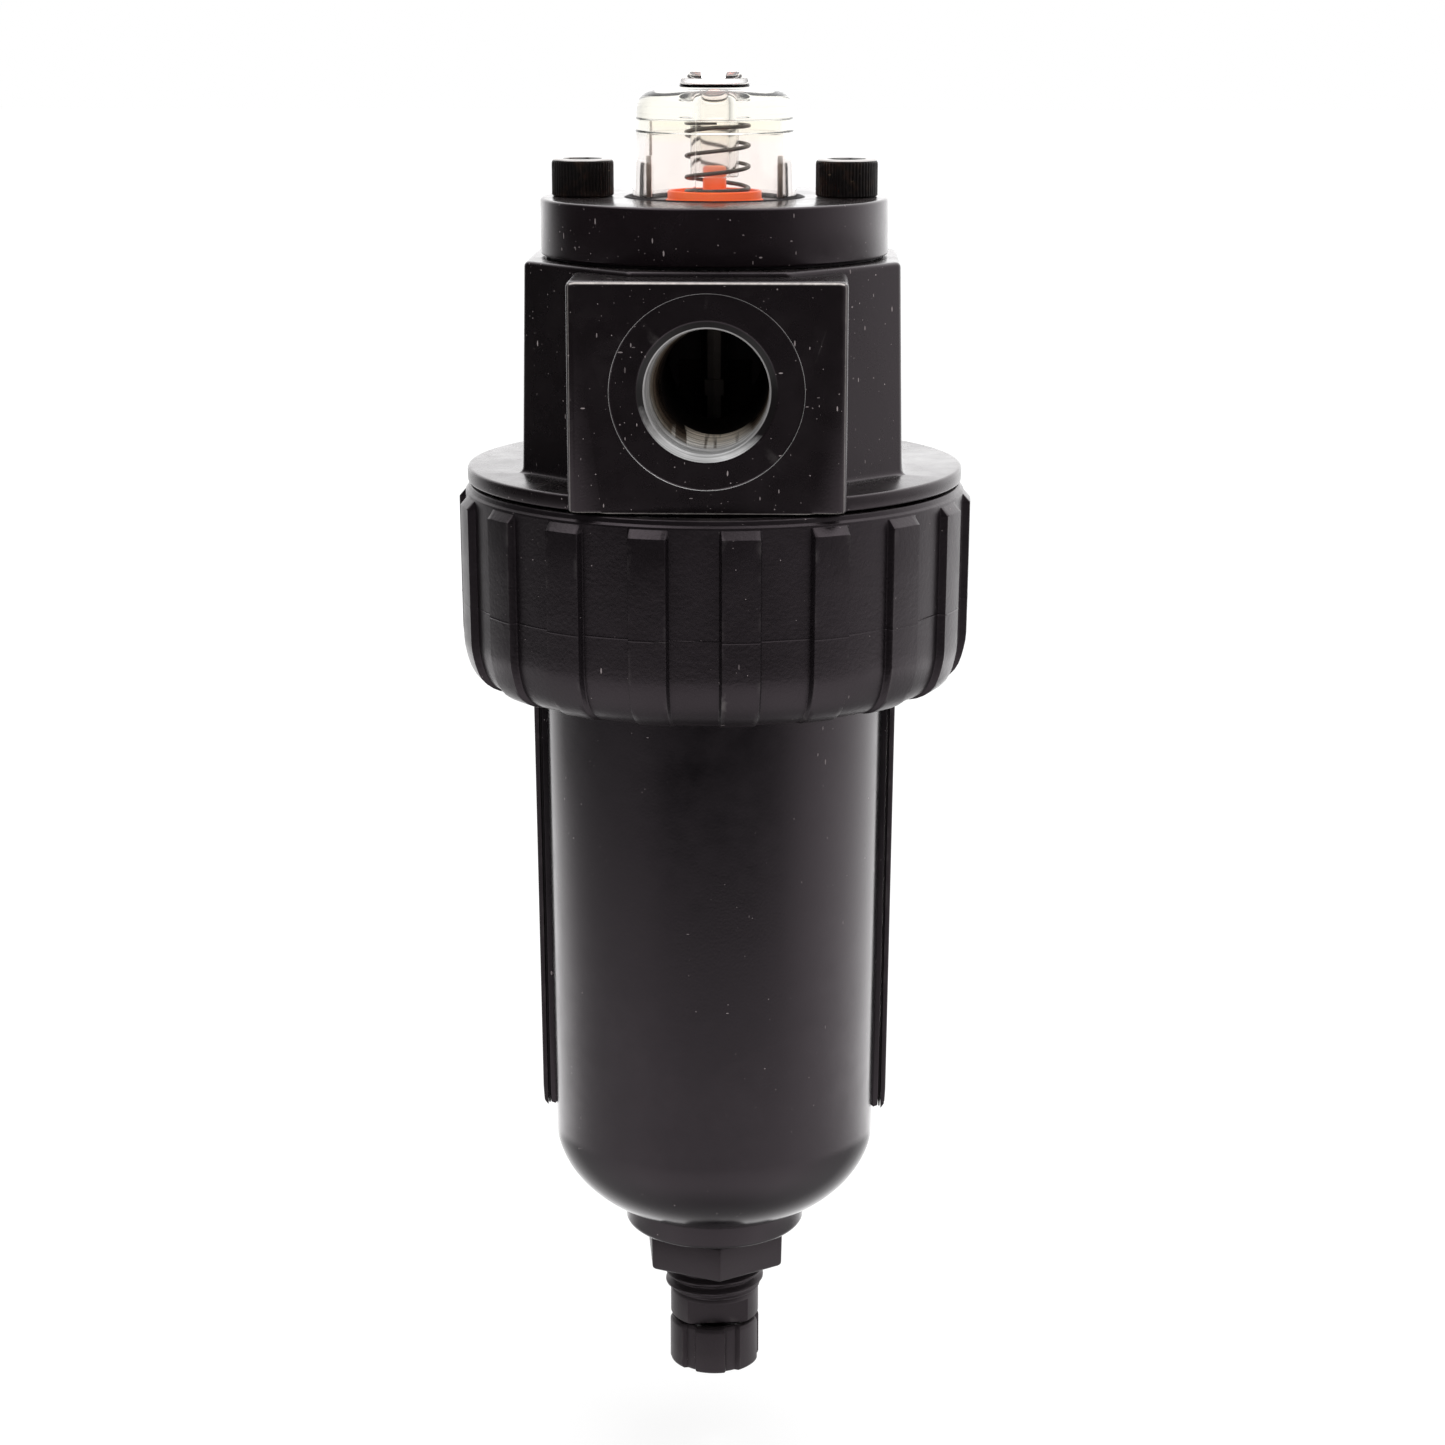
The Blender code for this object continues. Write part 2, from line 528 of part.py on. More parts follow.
rim_r = bowl_r(BOWL_DOME_Z)
outer = bowl_bottom(rim_r, BOWL_DOME_H, BOWL_DOME_Z, (16.0, 20.0, 23.5, 26.2, 27.3))
inner = bowl_bottom(rim_r - BOWL_WALL, BOWL_INNER_H, BOWL_INNER_Z, (24.6, 21.5, 15.0))
bowl = turned("bowl", [
    (BOWL_HOLE_R, BOSS_Z0), (BOSS_R - BOSS_CHAMFER, BOSS_Z0),
    (BOSS_R, BOSS_Z0 + BOSS_CHAMFER), (BOSS_R, outer[0][1]), *outer,
    (rim_r, BOWL_DOME_Z), (bowl_r(BOWL_FLANGE_Z0), BOWL_FLANGE_Z0),
    (BOWL_FLANGE_R, BOWL_FLANGE_Z0), (BOWL_FLANGE_R, BOWL_FLANGE_Z1),
    (SPIGOT_R, BOWL_FLANGE_Z1), (SPIGOT_R, BOWL_TOP), (26.3, BOWL_TOP),
    (rim_r - BOWL_WALL, BOWL_INNER_Z), *inner,
    (10.6, BOWL_HOLE_TOP), (BOWL_HOLE_R, BOWL_HOLE_TOP)], 40, BLACK_PAINT, BOWL_FLANGE_Z0)
bowl_axis = axis_empty("bowl_axis", BOWL_FLANGE_Z0)
adopt(bowl_axis, bowl, o_ring("bowl_seal", 32.2, 1.2, 134.3, 32))

# ---- sight gauges ---------------------------------------------------------
GAUGE_Z0 = 47.8
GAUGE_Z1 = 127.2
GAUGE_HALF_W = 2.5
GAUGE_ORIGIN_Z = 88.0
WINDOW_Z0 = 58.0
WINDOW_Z1 = 118.0
WINDOW_HALF_W = 1.2
LENS_END_GAP = 0.25
# distances outwards from the bowl wall
PAD_PROUD = 0.75
SIGHT_GASKET_PROUD = 1.13
GAUGE_PROUD = 1.95
SIGHT_GAP = 0.04         # between the stacked parts


def strip(sx, half_w, z0, z1, off0, off1, end_slope=0.0, inset=0.0, window=False):
    """Bar lying along the drafted bowl wall on the +X or -X side, optionally
    with the lengthwise window. off0 and off1 are its inner and outer faces,
    measured outwards from the wall. The outer face is narrower by inset on
    each long side, and starts end_slope higher."""
    mesh = bmesh.new()

    def loop(hw, za, zb, off):
        return [mesh.verts.new((sx * (bowl_r(z) + off), y, z))
                for y, z in ((-hw, za), (hw, za), (hw, zb), (-hw, zb))]

    inside = loop(half_w, z0, z1, off0)
    outside = loop(half_w - inset, z0 + end_slope, z1, off1)
    bridge(mesh, inside, outside)
    if window:
        window_in = loop(WINDOW_HALF_W, WINDOW_Z0, WINDOW_Z1, off0)
        window_out = loop(WINDOW_HALF_W, WINDOW_Z0, WINDOW_Z1, off1)
        bridge(mesh, window_in, window_out)
        bridge(mesh, window_in, inside)
        bridge(mesh, outside, window_out)
    else:
        mesh.faces.new(list(reversed(inside)))
        mesh.faces.new(outside)
    return mesh


for side, sx in SIDES:
    fuse(bowl, f"bowl_gauge_pad_{side}",
         strip(sx, GAUGE_HALF_W, GAUGE_Z0, GAUGE_Z1 + 1.0, -1.2, PAD_PROUD))
    cut(bowl, f"bowl_gauge_slot_{side}",
        box(sx * 22.0, sx * 32.0, -WINDOW_HALF_W, WINDOW_HALF_W, WINDOW_Z0, WINDOW_Z1))
    sight_parts = (
        ("gasket", RUBBER, strip(
            sx, GAUGE_HALF_W - 0.35, GAUGE_Z0 + 0.5, GAUGE_Z1,
            PAD_PROUD + SIGHT_GAP, SIGHT_GASKET_PROUD, window=True)),
        ("bezel", BLACK_POLYMER, strip(
            sx, GAUGE_HALF_W, GAUGE_Z0 + 0.2, GAUGE_Z1, SIGHT_GASKET_PROUD + SIGHT_GAP,
            GAUGE_PROUD, end_slope=1.1, inset=0.25, window=True)),
        ("lens", CLEAR, strip(
            sx, WINDOW_HALF_W - 0.22, WINDOW_Z0 + LENS_END_GAP, WINDOW_Z1 - LENS_END_GAP,
            -1.9, GAUGE_PROUD - 0.3)))
    origin = (sx * bowl_r(GAUGE_ORIGIN_Z), 0, GAUGE_ORIGIN_Z)
    for part, mat, mesh in sight_parts:
        adopt(bowl_axis, new_object(f"sight_{part}_{side}", mesh, mat, origin, smooth=False))

# ---- drain bushing, gasket, lock nut, body --------------------------------
HEX_Z1 = 26.2
HEX_R = 12.95            # corner radius at the bottom
HEX_TURN = 5.7           # degrees
DRAIN_GAP = 0.06
DRAIN_CLEAR_R = 7.35     # bore of the gasket and lock nut, round the shank
LOCK_NUT_Z0 = 35.6
NECK_Z0 = 8.9            # drain body
NECK_R = 7.7
NECK_FLAT = 5.6          # half distance across the two wrench flats
NECK_FLAT_TOP = 13.2
NECK_FLAT_TURN = 7.5     # degrees
THREAD_Z0 = 14.0
THREAD_R = 8.55
THREAD_ROOT_R = NECK_R - 0.1
THREAD_PITCH = 1.8
THREAD_RIDGE_W = 1.5
THREAD_RIDGES = 3
BODY_TOP = 34.0
BODY_BORE_R = 2.8
BODY_BORE_TOP = 31.0
OUTLET_R = 1.5           # narrow hole above the bore

bushing = new_object("drain_bushing", prism(polygon(6, HEX_R, HEX_TURN), HEX_Z0, HEX_Z1,
                                            polygon(6, HEX_R + 0.15, HEX_TURN)),
                     BLACK_POLYMER, (0, 0, HEX_Z0))
fuse(bushing, "bushing_shank", rod(7.0, HEX_Z1 - 1.0, 39.0, 20))
cut(bushing, "bushing_bore", rod(5.3, HEX_Z0 - OVERCUT, 40.0, 20))
drain_gasket = turned("drain_gasket", tube(DRAIN_CLEAR_R, 10.8, HEX_Z1 + DRAIN_GAP,
                                           BOSS_Z0 - DRAIN_GAP), 20, RUBBER, HEX_Z1)
lock_nut = new_object("drain_lock_nut", prism(polygon(6, 11.2), LOCK_NUT_Z0, 38.6),
                      STEEL, (0, 0, LOCK_NUT_Z0))
cut(lock_nut, "lock_nut_bore", rod(DRAIN_CLEAR_R, 35, 40, 20))

ridges = []
for k in range(THREAD_RIDGES):
    z = THREAD_Z0 + 0.5 + THREAD_PITCH * k
    ridges += [(THREAD_ROOT_R, z), (THREAD_R, z + THREAD_RIDGE_W / 2),
               (THREAD_ROOT_R, z + THREAD_RIDGE_W)]
drain_body = turned("drain_body", [
    (BODY_BORE_R, NECK_Z0), (NECK_R - 0.3, NECK_Z0), (NECK_R, NECK_Z0 + 0.3), *ridges,
    (THREAD_ROOT_R, HEX_Z0 - DRAIN_GAP), (4.95, HEX_Z0 - DRAIN_GAP), (4.95, BODY_TOP),
    (OUTLET_R, BODY_TOP), (OUTLET_R, BODY_BORE_TOP), (BODY_BORE_R, BODY_BORE_TOP)],
    20, BLACK_POLYMER, NECK_Z0)
for side, sy in (("front", -1), ("rear", 1)):
    flat = box(-10, 10, sy * NECK_FLAT, sy * 12, NECK_Z0 - OVERCUT, NECK_FLAT_TOP)
    bmesh.ops.rotate(flat, verts=flat.verts, cent=(0, 0, 0),
                     matrix=Matrix.Rotation(math.radians(NECK_FLAT_TURN), 3, "Z"))
    cut(drain_body, f"neck_flat_{side}", flat)
adopt(bowl_axis, bushing, drain_gasket, lock_nut, drain_body)

# ---- clamp collar ---------------------------------------------------------
PADS = 18                # raised grip pads
PAD_DEG = 9.3
PAD_EDGE_DEG = 0.4       # width of the slope at each side of a pad
PAD_TURN = 2.8           # where the first pad starts, degrees from the front
PAD_R = 42.2
COLLAR_R = 41.0
COLLAR_Z1 = 157.25
RIM_R = 40.5
LIP_R = 31.3             # lip under the bowl flange
LIP_TOP = 129.1
COLLAR_BORE = 37.8
# z, radius between pads, radius of pads
COLLAR_STATIONS = [
    (COLLAR_Z1, RIM_R, RIM_R), (156.5, RIM_R, RIM_R), (156.1, COLLAR_R, COLLAR_R),
    (155.75, COLLAR_R, COLLAR_R), (154.4, COLLAR_R, PAD_R),
    (132.0, COLLAR_R - 0.2, PAD_R - 0.2), (127.2, 39.8, 40.9), (124.7, 37.4, 38.4),
    (COLLAR_Z0, 34.2, 35.0), (COLLAR_Z0, LIP_R, LIP_R), (LIP_TOP, LIP_R, LIP_R),
    (LIP_TOP, COLLAR_BORE, COLLAR_BORE), (COLLAR_Z1, COLLAR_BORE, COLLAR_BORE)]

pad_corners = [(k * 360.0 / PADS + PAD_TURN + degrees, raised)
               for k in range(PADS)
               for degrees, raised in ((0.0, False), (PAD_EDGE_DEG, True),
                                       (PAD_DEG - PAD_EDGE_DEG, True), (PAD_DEG, False))]
collar_axis = axis_empty("collar_axis", COLLAR_Z0, bowl_axis)
adopt(collar_axis, new_object("collar_ring", fluted(COLLAR_STATIONS, pad_corners),
                              BLACK_PLASTIC, (0, 0, COLLAR_Z0)))

# ---- drain stem and knob --------------------------------------------------
DRAIN_STEM_R = 2.25
STEM_GROOVE_R = 1.65
STEM_BORE_R = 0.9
KNOB_R = 7.8             # lobe radius
KNOB_LOBES = 6
KNOB_GROOVE = 0.75       # depth of the grooves between lobes
KNOB_TURN = -4.0         # first lobe, degrees from the front
KNOB_BEVEL = 0.5         # radius lost at the top and bottom edges
KNOB_BORE_R = 2.5
KNOB_RECESS_Z = KNOB_H - 1.2

drain_slide = axis_empty("drain_slide_axis", KNOB_H, bowl_axis)
drain_turn = axis_empty("drain_turn_axis", 0.0, drain_slide)
stem = turned("drain_stem", [
    (STEM_BORE_R, 1.2), (DRAIN_STEM_R, 1.2), (DRAIN_STEM_R, 23.0), (STEM_GROOVE_R, 23.0),
    (STEM_GROOVE_R, 24.3), (DRAIN_STEM_R, 24.3), (DRAIN_STEM_R, 29.6), (1.1, 30.9),
    (0.0, 30.9), (0.0, 20.0), (STEM_BORE_R, 20.0)], 12, BLACK_POLYMER, KNOB_H)
adopt(drain_slide, stem, o_ring("drain_stem_seal", 2.2, 0.4, 23.65, 12))

knob_edge_r = KNOB_R - KNOB_BEVEL
# z, groove radius, lobe radius: up the outside, then recess and bore
knob_stations = [
    (0.0, knob_edge_r - KNOB_GROOVE, knob_edge_r), (0.45, KNOB_R - KNOB_GROOVE, KNOB_R),
    (KNOB_H - 0.5, KNOB_R - KNOB_GROOVE, KNOB_R),
    (KNOB_H, knob_edge_r - KNOB_GROOVE, knob_edge_r),
    (KNOB_H, 6.1, 6.1), (KNOB_RECESS_Z, 5.9, 5.9),
    (KNOB_RECESS_Z, KNOB_BORE_R, KNOB_BORE_R), (0.0, KNOB_BORE_R, KNOB_BORE_R)]
lobe_corners = [(KNOB_TURN + k * 360.0 / KNOB_LOBES + degrees, raised)
                for k in range(KNOB_LOBES)
                for degrees, raised in ((-20.0, True), (0.0, True), (20.0, True),
                                        (23.5, False), (36.5, False))]
adopt(drain_turn, new_object("drain_knob", fluted(knob_stations, lobe_corners), BLACK_POLYMER))
bpy.context.view_layer.update()
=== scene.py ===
"""Compressed air filter: ported head, service indicator, clamp collar, bowl and drain.

The filter stands along Z. The pipe ports open towards -Y (the front, facing the camera) and +Y.
The cap screws and sight gauges lie on the X axis. Shapes are in millimetres and become metres
when their mesh is built. Materials work in metres.
"""
import math
import random

import bmesh
import bpy
from mathutils import Matrix, Vector


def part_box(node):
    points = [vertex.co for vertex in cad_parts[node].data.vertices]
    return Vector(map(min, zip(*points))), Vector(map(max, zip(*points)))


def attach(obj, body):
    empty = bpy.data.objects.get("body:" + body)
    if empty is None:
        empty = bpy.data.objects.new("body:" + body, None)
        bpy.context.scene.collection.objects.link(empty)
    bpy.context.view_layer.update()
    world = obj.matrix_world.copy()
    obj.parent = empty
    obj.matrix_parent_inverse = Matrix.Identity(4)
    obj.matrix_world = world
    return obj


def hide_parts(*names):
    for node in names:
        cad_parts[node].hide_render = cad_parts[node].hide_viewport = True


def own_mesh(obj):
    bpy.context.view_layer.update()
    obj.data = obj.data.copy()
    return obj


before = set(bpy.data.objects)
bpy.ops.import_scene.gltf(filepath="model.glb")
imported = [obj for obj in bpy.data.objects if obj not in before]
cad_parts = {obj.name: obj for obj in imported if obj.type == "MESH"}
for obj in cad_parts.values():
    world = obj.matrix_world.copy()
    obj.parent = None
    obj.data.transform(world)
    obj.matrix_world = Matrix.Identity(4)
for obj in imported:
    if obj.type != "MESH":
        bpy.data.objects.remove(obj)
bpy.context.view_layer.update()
MM = 0.001
TURN = 2 * math.pi


def detail(full, quick):
    """Segment count: full for final work; quick is not used."""
    return full


# ------------------------------------------------------------------ driving dimensions
def span(node):
    """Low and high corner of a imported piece, in millimetres."""
    low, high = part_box(node)
    return [v / MM for v in low], [v / MM for v in high]


HEAD_LOW, HEAD_HIGH = span("filter_head")
PLATE_LOW, PLATE_HIGH = span("cover_plate")
SCREW_LOW, SCREW_HIGH = span("cap_screw_right")
SPRING_LOW, SPRING_HIGH = span("indicator_spring")

FLANGE_R = HEAD_HIGH[0]
FLANGE_Z0, FLANGE_Z1 = 157.7, 160.1
HEAD_TOP = HEAD_HIGH[2]
SKIRT_Z0 = 136.0
PORT_Y = -HEAD_LOW[1]        # distance of the port faces from the axis
PORT_Z = 176.3               # height of the port axis
PORT_HALF = 21.4             # half width of the port bosses
PORT_TOP = 193.1
PLATE_R = PLATE_HIGH[0]
PLATE_Z0, PLATE_Z1 = PLATE_LOW[2], PLATE_HIGH[2]
SCREW_X = 0.5 * (SCREW_LOW[0] + SCREW_HIGH[0])
SCREW_TOP = SCREW_HIGH[2]
SCREW_HOLE_R = 3.25
CROWN_TOP = span("indicator_dome")[1][2]
BOWL_TOP = span("bowl")[1][2]
HEX_Z0, HEX_Z1 = span("drain_bushing")[0][2], 26.2
NECK_Z0 = span("drain_body")[0][2]


def bowl_r(z):
    """Outer radius of the drafted bowl wall at height z."""
    return 27.6 + (z - 50.0) * 0.010


# ------------------------------------------------------------------ outlines
def fillet(points, seg=5):
    """Closed outline of (a, b, radius) points, rounded at its corners."""
    out = []
    for i, point in enumerate(points):
        radius = point[2]
        corner = Vector(point[:2])
        if radius <= 0.0:
            out.append((corner.x, corner.y))
            continue
        back = Vector(points[i - 1][:2]) - corner
        ahead = Vector(points[(i + 1) % len(points)][:2]) - corner
        angle = back.angle(ahead)
        reach = min(radius / math.tan(angle / 2), back.length * 0.499, ahead.length * 0.499)
        radius = reach * math.tan(angle / 2)
        back.normalize()
        ahead.normalize()
        centre = corner + (back + ahead).normalized() * (radius / math.sin(angle / 2))
        first, last = corner + back * reach - centre, corner + ahead * reach - centre
        start = math.atan2(first.y, first.x)
        sweep = (math.atan2(last.y, last.x) - start + math.pi) % TURN - math.pi
        for k in range(seg + 1):
            w = start + sweep * k / seg
            out.append((centre.x + radius * math.cos(w), centre.y + radius * math.sin(w)))
    return out


def rectangle(xs, ys, radius=0.0):
    (x0, x1), (y0, y1) = sorted(xs), sorted(ys)
    return fillet([(x0, y0, radius), (x1, y0, radius), (x1, y1, radius), (x0, y1, radius)], 2)


def circle(count, z, radius, x=0.0, y=0.0):
    """Ring of points at height z; radius is a number or a function of the angle."""
    ring = []
    for k in range(count):
        angle = TURN * k / count
        r = radius(angle) if callable(radius) else radius
        ring.append((x + r * math.cos(angle), y + r * math.sin(angle), z))
    return ring


def edge_round(z_edge, radius, into, seg=5):
    """(z, inset) stations that round an edge; into is +1 when the solid is below it."""
    out = []
    for k in range(seg + 1):
        w = math.radians(90.0 * k / seg)
        out.append((z_edge - into * radius * (1 - math.sin(w)), radius * (1 - math.cos(w))))
    return out


def thread_form(phase, start, flank):
    """Height, 0 to 1, of a flat-topped thread at a phase counted in turns."""
    rise = 1.0 - abs(2.0 * (phase % 1.0) - 1.0)
    return min(1.0, max(0.0, (rise - start) / flank))


# ------------------------------------------------------------------ solids
def bridge(mesh, low, high, flip=False, material=0):
    """Band of quads between two rings of equal length."""
    count = len(low)
    for k in range(count):
        k1 = (k + 1) % count
        if flip:
            corners = (low[k], high[k], high[k1], low[k1])
        else:
            corners = (low[k], low[k1], high[k1], high[k])
        mesh.faces.new(corners).material_index = material


def loft(rings, closed=False, flip=False, materials=None):
    """Solid through rings of points, capped, or closed from the last ring to the first.

    materials has one slot per ring; a band takes that of its second ring.
    """
    mesh = bmesh.new()
    rows = [[mesh.verts.new(p) for p in ring] for ring in rings]
    slots = materials or [0] * len(rows)
    for low, high, slot in zip(rows, rows[1:], slots[1:]):
        bridge(mesh, low, high, flip, slot)
    if closed:
        bridge(mesh, rows[-1], rows[0], flip)
        return mesh
    first, last = rows[0], rows[-1]
    if flip:
        last = list(reversed(last))
    else:
        first = list(reversed(first))
    mesh.faces.new(first).material_index = slots[0]
    mesh.faces.new(last).material_index = slots[-1]
    return mesh


def loft_outline(outline_at, stations):
    """Loft of outline_at(size, z) through (z, size) stations."""
    return loft([[(x, y, z) for x, y in outline_at(size, z)] for z, size in stations])


def lathe_mesh(profile, count):
    """Closed (r, z) profile turned about Z."""
    mesh = bmesh.new()
    rows = []
    for r, z in profile:
        points = [(0, 0, z)] if abs(r) < 1e-9 else circle(count, z, r)
        rows.append([mesh.verts.new(p) for p in points])
    for low, high in zip(rows, rows[1:] + rows[:1]):
        if len(low) > 1 and len(high) > 1:
            bridge(mesh, low, high, flip=True)
        elif len(low) > 1 or len(high) > 1:
            for k in range(count):
                k1 = (k + 1) % count
                if len(low) == 1:
                    mesh.faces.new((low[0], high[k], high[k1]))
                else:
                    mesh.faces.new((low[k], high[0], low[k1]))
    return mesh


def rod(radius, z0, z1, count, x=0.0, y=0.0):
    return loft([circle(count, z, radius, x, y) for z in (z0, z1)])


def box(xs, ys, z0, z1):
    return loft([[(x, y, z) for x, y in rectangle(xs, ys)] for z in (z0, z1)])


def turned(mesh, degrees, axis="Z"):
    matrix = Matrix.Rotation(math.radians(degrees), 3, axis)
    bmesh.ops.rotate(mesh, verts=mesh.verts, cent=(0, 0, 0), matrix=matrix)
    return mesh


def shifted(mesh, offset):
    bmesh.ops.translate(mesh, verts=mesh.verts, vec=offset)
    return mesh


# ------------------------------------------------------------------ objects
def shade(data, angle):
    data.shade_smooth()
    data.set_sharp_from_angle(angle=math.radians(angle))


def build(name, mesh, materials, smooth=35.0, scale=MM):
    """Object from a bmesh; smooth is the sharp-edge angle in degrees, 0 for flat faces."""
    bmesh.ops.remove_doubles(mesh, verts=mesh.verts, dist=1e-5)
    bmesh.ops.recalc_face_normals(mesh, faces=mesh.faces)
    bmesh.ops.scale(mesh, verts=mesh.verts, vec=(scale, scale, scale))
    data = bpy.data.meshes.new(name)
    mesh.to_mesh(data)
    mesh.free()
    for material in materials:
        data.materials.append(material)
    if smooth:
        shade(data, smooth)
    part = bpy.data.objects.new(name, data)
    bpy.context.scene.collection.objects.link(part)
    return part


def lathe(name, profile, count, materials, smooth=35.0):
    return build(name, lathe_mesh(profile, count), materials, smooth)


def torus(name, major, minor, z, count, sides, material):
    angles = [TURN * k / sides for k in range(sides)]
    profile = [(major + minor * math.cos(w), z + minor * math.sin(w)) for w in angles]
    return lathe(name, profile, count, [material], smooth=80)


def boolean(part, mesh, operation, materials=None):
    """Boolean with a throw-away tool, applied at once."""
    tool = build("tool", mesh, materials or list(part.data.materials), 0)
    modifier = part.modifiers.new("tool", "BOOLEAN")
    modifier.operation = operation
    modifier.solver = "EXACT"
    modifier.object = tool
    modifier.material_mode = "TRANSFER"
    graph = bpy.context.evaluated_depsgraph_get()
    graph.update()
    result = bpy.data.meshes.new_from_object(part.evaluated_get(graph))
    old = part.data
    part.modifiers.clear()
    part.data = result
    bpy.data.meshes.remove(old)
    shade(result, 35.0)
    bpy.data.objects.remove(tool, do_unlink=True)


def join(part, mesh, materials=None):
    boolean(part, mesh, "UNION", materials)


def cut(part, mesh, materials=None):
    boolean(part, mesh, "DIFFERENCE", materials)


def tidy(part, smooth):
    """Merge the slivers booleans leave and set the shading again."""
    mesh = bmesh.new()
    mesh.from_mesh(part.data)
    bmesh.ops.remove_doubles(mesh, verts=mesh.verts, dist=2e-7)
    bmesh.ops.dissolve_degenerate(mesh, edges=mesh.edges, dist=2e-7)
    bmesh.ops.recalc_face_normals(mesh, faces=mesh.faces)
    mesh.to_mesh(part.data)
    mesh.free()
    shade(part.data, smooth)
    return part


def place(part, body, slot=None, *nodes):
    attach(part, body)
    if nodes:
        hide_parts(*nodes)


# ------------------------------------------------------------------ shader nodes
class Net:
    """A node tree being built; most methods add a node and return its output."""

    def __init__(self, tree):
        self.tree = tree

    def feed(self, node, *slots, **named):
        """Set or link inputs, by position (None skips one) or by name, "_" for a space."""
        pairs = [(i, v) for i, v in enumerate(slots) if v is not None]
        pairs += [(key.replace("_", " "), v) for key, v in named.items()]
        for key, value in pairs:
            if isinstance(value, bpy.types.NodeSocket):
                self.tree.links.new(value, node.inputs[key])
            else:
                node.inputs[key].default_value = value

    def add(self, kind, *slots, props=None, **named):
        node = self.tree.nodes.new("ShaderNode" + kind)
        for key, value in (props or {}).items():
            setattr(node, key, value)
        self.feed(node, *slots, **named)
        return node

    def math(self, operation, first, second=0.5, clamp=False):
        props = {"operation": operation, "use_clamp": clamp}
        return self.add("Math", first, second, props=props).outputs[0]

    def plus(self, first, second, clamp=False):
        return self.math("ADD", first, second, clamp)

    def minus(self, first, second):
        return self.math("SUBTRACT", first, second)

    def times(self, first, second, clamp=False):
        return self.math("MULTIPLY", first, second, clamp)

    def most(self, first, second):
        return self.math("MAXIMUM", first, second)

    def below(self, value, limit):
        return self.math("LESS_THAN", value, limit)

    def above(self, value, limit):
        return self.math("GREATER_THAN", value, limit)

    def swing(self, value, amount):
        """A 0 to 1 value centred on zero and scaled."""
        return self.times(self.minus(value, 0.5), amount)

    def remap(self, value, low, high, to_low=0.0, to_high=1.0, props=None):
        return self.add("MapRange", value, low, high, to_low, to_high, props=props).outputs[0]

    def split(self, vector):
        return self.add("SeparateXYZ", vector).outputs

    def mix(self, factor, *colours):
        node = self.add("Mix", props={"data_type": "RGBA"})
        padded = [(*c, 1.0) if isinstance(c, tuple) else c for c in colours]
        self.feed(node, factor, *[None] * 5, *padded)
        return node.outputs[2]

    def mix_shader(self, factor, first, second):
        return self.add("MixShader", factor, first.outputs[0], second.outputs[0])

    def ramp(self, value, stops):
        """Colour ramp through (position, grey or colour) stops."""
        node = self.add("ValToRGB", value)
        elements = node.color_ramp.elements
        while len(elements) > 1:
            elements.remove(elements[-1])
        elements[0].position = stops[0][0]
        for i, (position, colour) in enumerate(stops):
            element = elements.new(position) if i else elements[0]
            rgb = colour if isinstance(colour, tuple) else (colour,) * 3
            element.color = (*rgb, 1)
        return node.outputs[0]


class Surface(Net):
    """A new material's node tree, with its shader and object coordinates."""

    def __init__(self, name):
        self.material = bpy.data.materials.new(name)
        self.material.use_nodes = True
        super().__init__(self.material.node_tree)
        self.shader = self.tree.nodes["Principled BSDF"]
        self.spot = self.add("TexCoord").outputs["Object"]

    def noise(self, scale, detail=3.0, rough=0.55, distortion=0.0, at=None):
        return self.add("TexNoise", Vector=at or self.spot, Scale=scale, Detail=detail,
                        Roughness=rough, Distortion=distortion).outputs["Fac"]

    def mapped(self, **mapping):
        return self.add("Mapping", Vector=self.spot, **mapping).outputs[0]

    def normal(self):
        return self.split(self.add("NewGeometry").outputs["Normal"])

    def bump(self, strength, distance, height):
        node = self.add("Bump", Strength=strength, Distance=distance, Height=height)
        self.feed(self.shader, Normal=node.outputs[0])

    def specks(self, scale, size, mask_scale, mask_at, stretch=(1, 1, 1), seed=0.0,
               density=1.0, extra=None):
        """Sparse grains: Voronoi cells cut to dots, kept where a broad noise is high."""
        spot = self.mapped(Location=(seed, seed * 1.7, seed * 0.6),
                           Rotation=(0.4 + seed, 0.3, 0.7 * seed), Scale=stretch)
        warp = self.noise(scale * 1.5, detail=2.0, at=spot)
        cells = self.add("TexVoronoi", props={"feature": "F1"}, Vector=spot, Scale=scale,
                         Randomness=1.0).outputs
        random_size, random_keep, random_dim = self.add(
            "SeparateColor", cells["Color"]).outputs[:3]
        away = self.plus(cells["Distance"], self.times(warp, size * 0.9))
        dot = self.below(away, self.times(random_size, size * 1.6))
        mask = self.noise(mask_scale, detail=2.0)
        if extra is not None:
            mask = self.plus(mask, extra)
        keep = self.above(mask, mask_at)
        if density < 1.0:
            keep = self.times(keep, self.below(random_keep, density))
        dim = self.plus(self.times(random_dim, 0.75), 0.25)
        return self.times(self.times(dot, keep), dim)


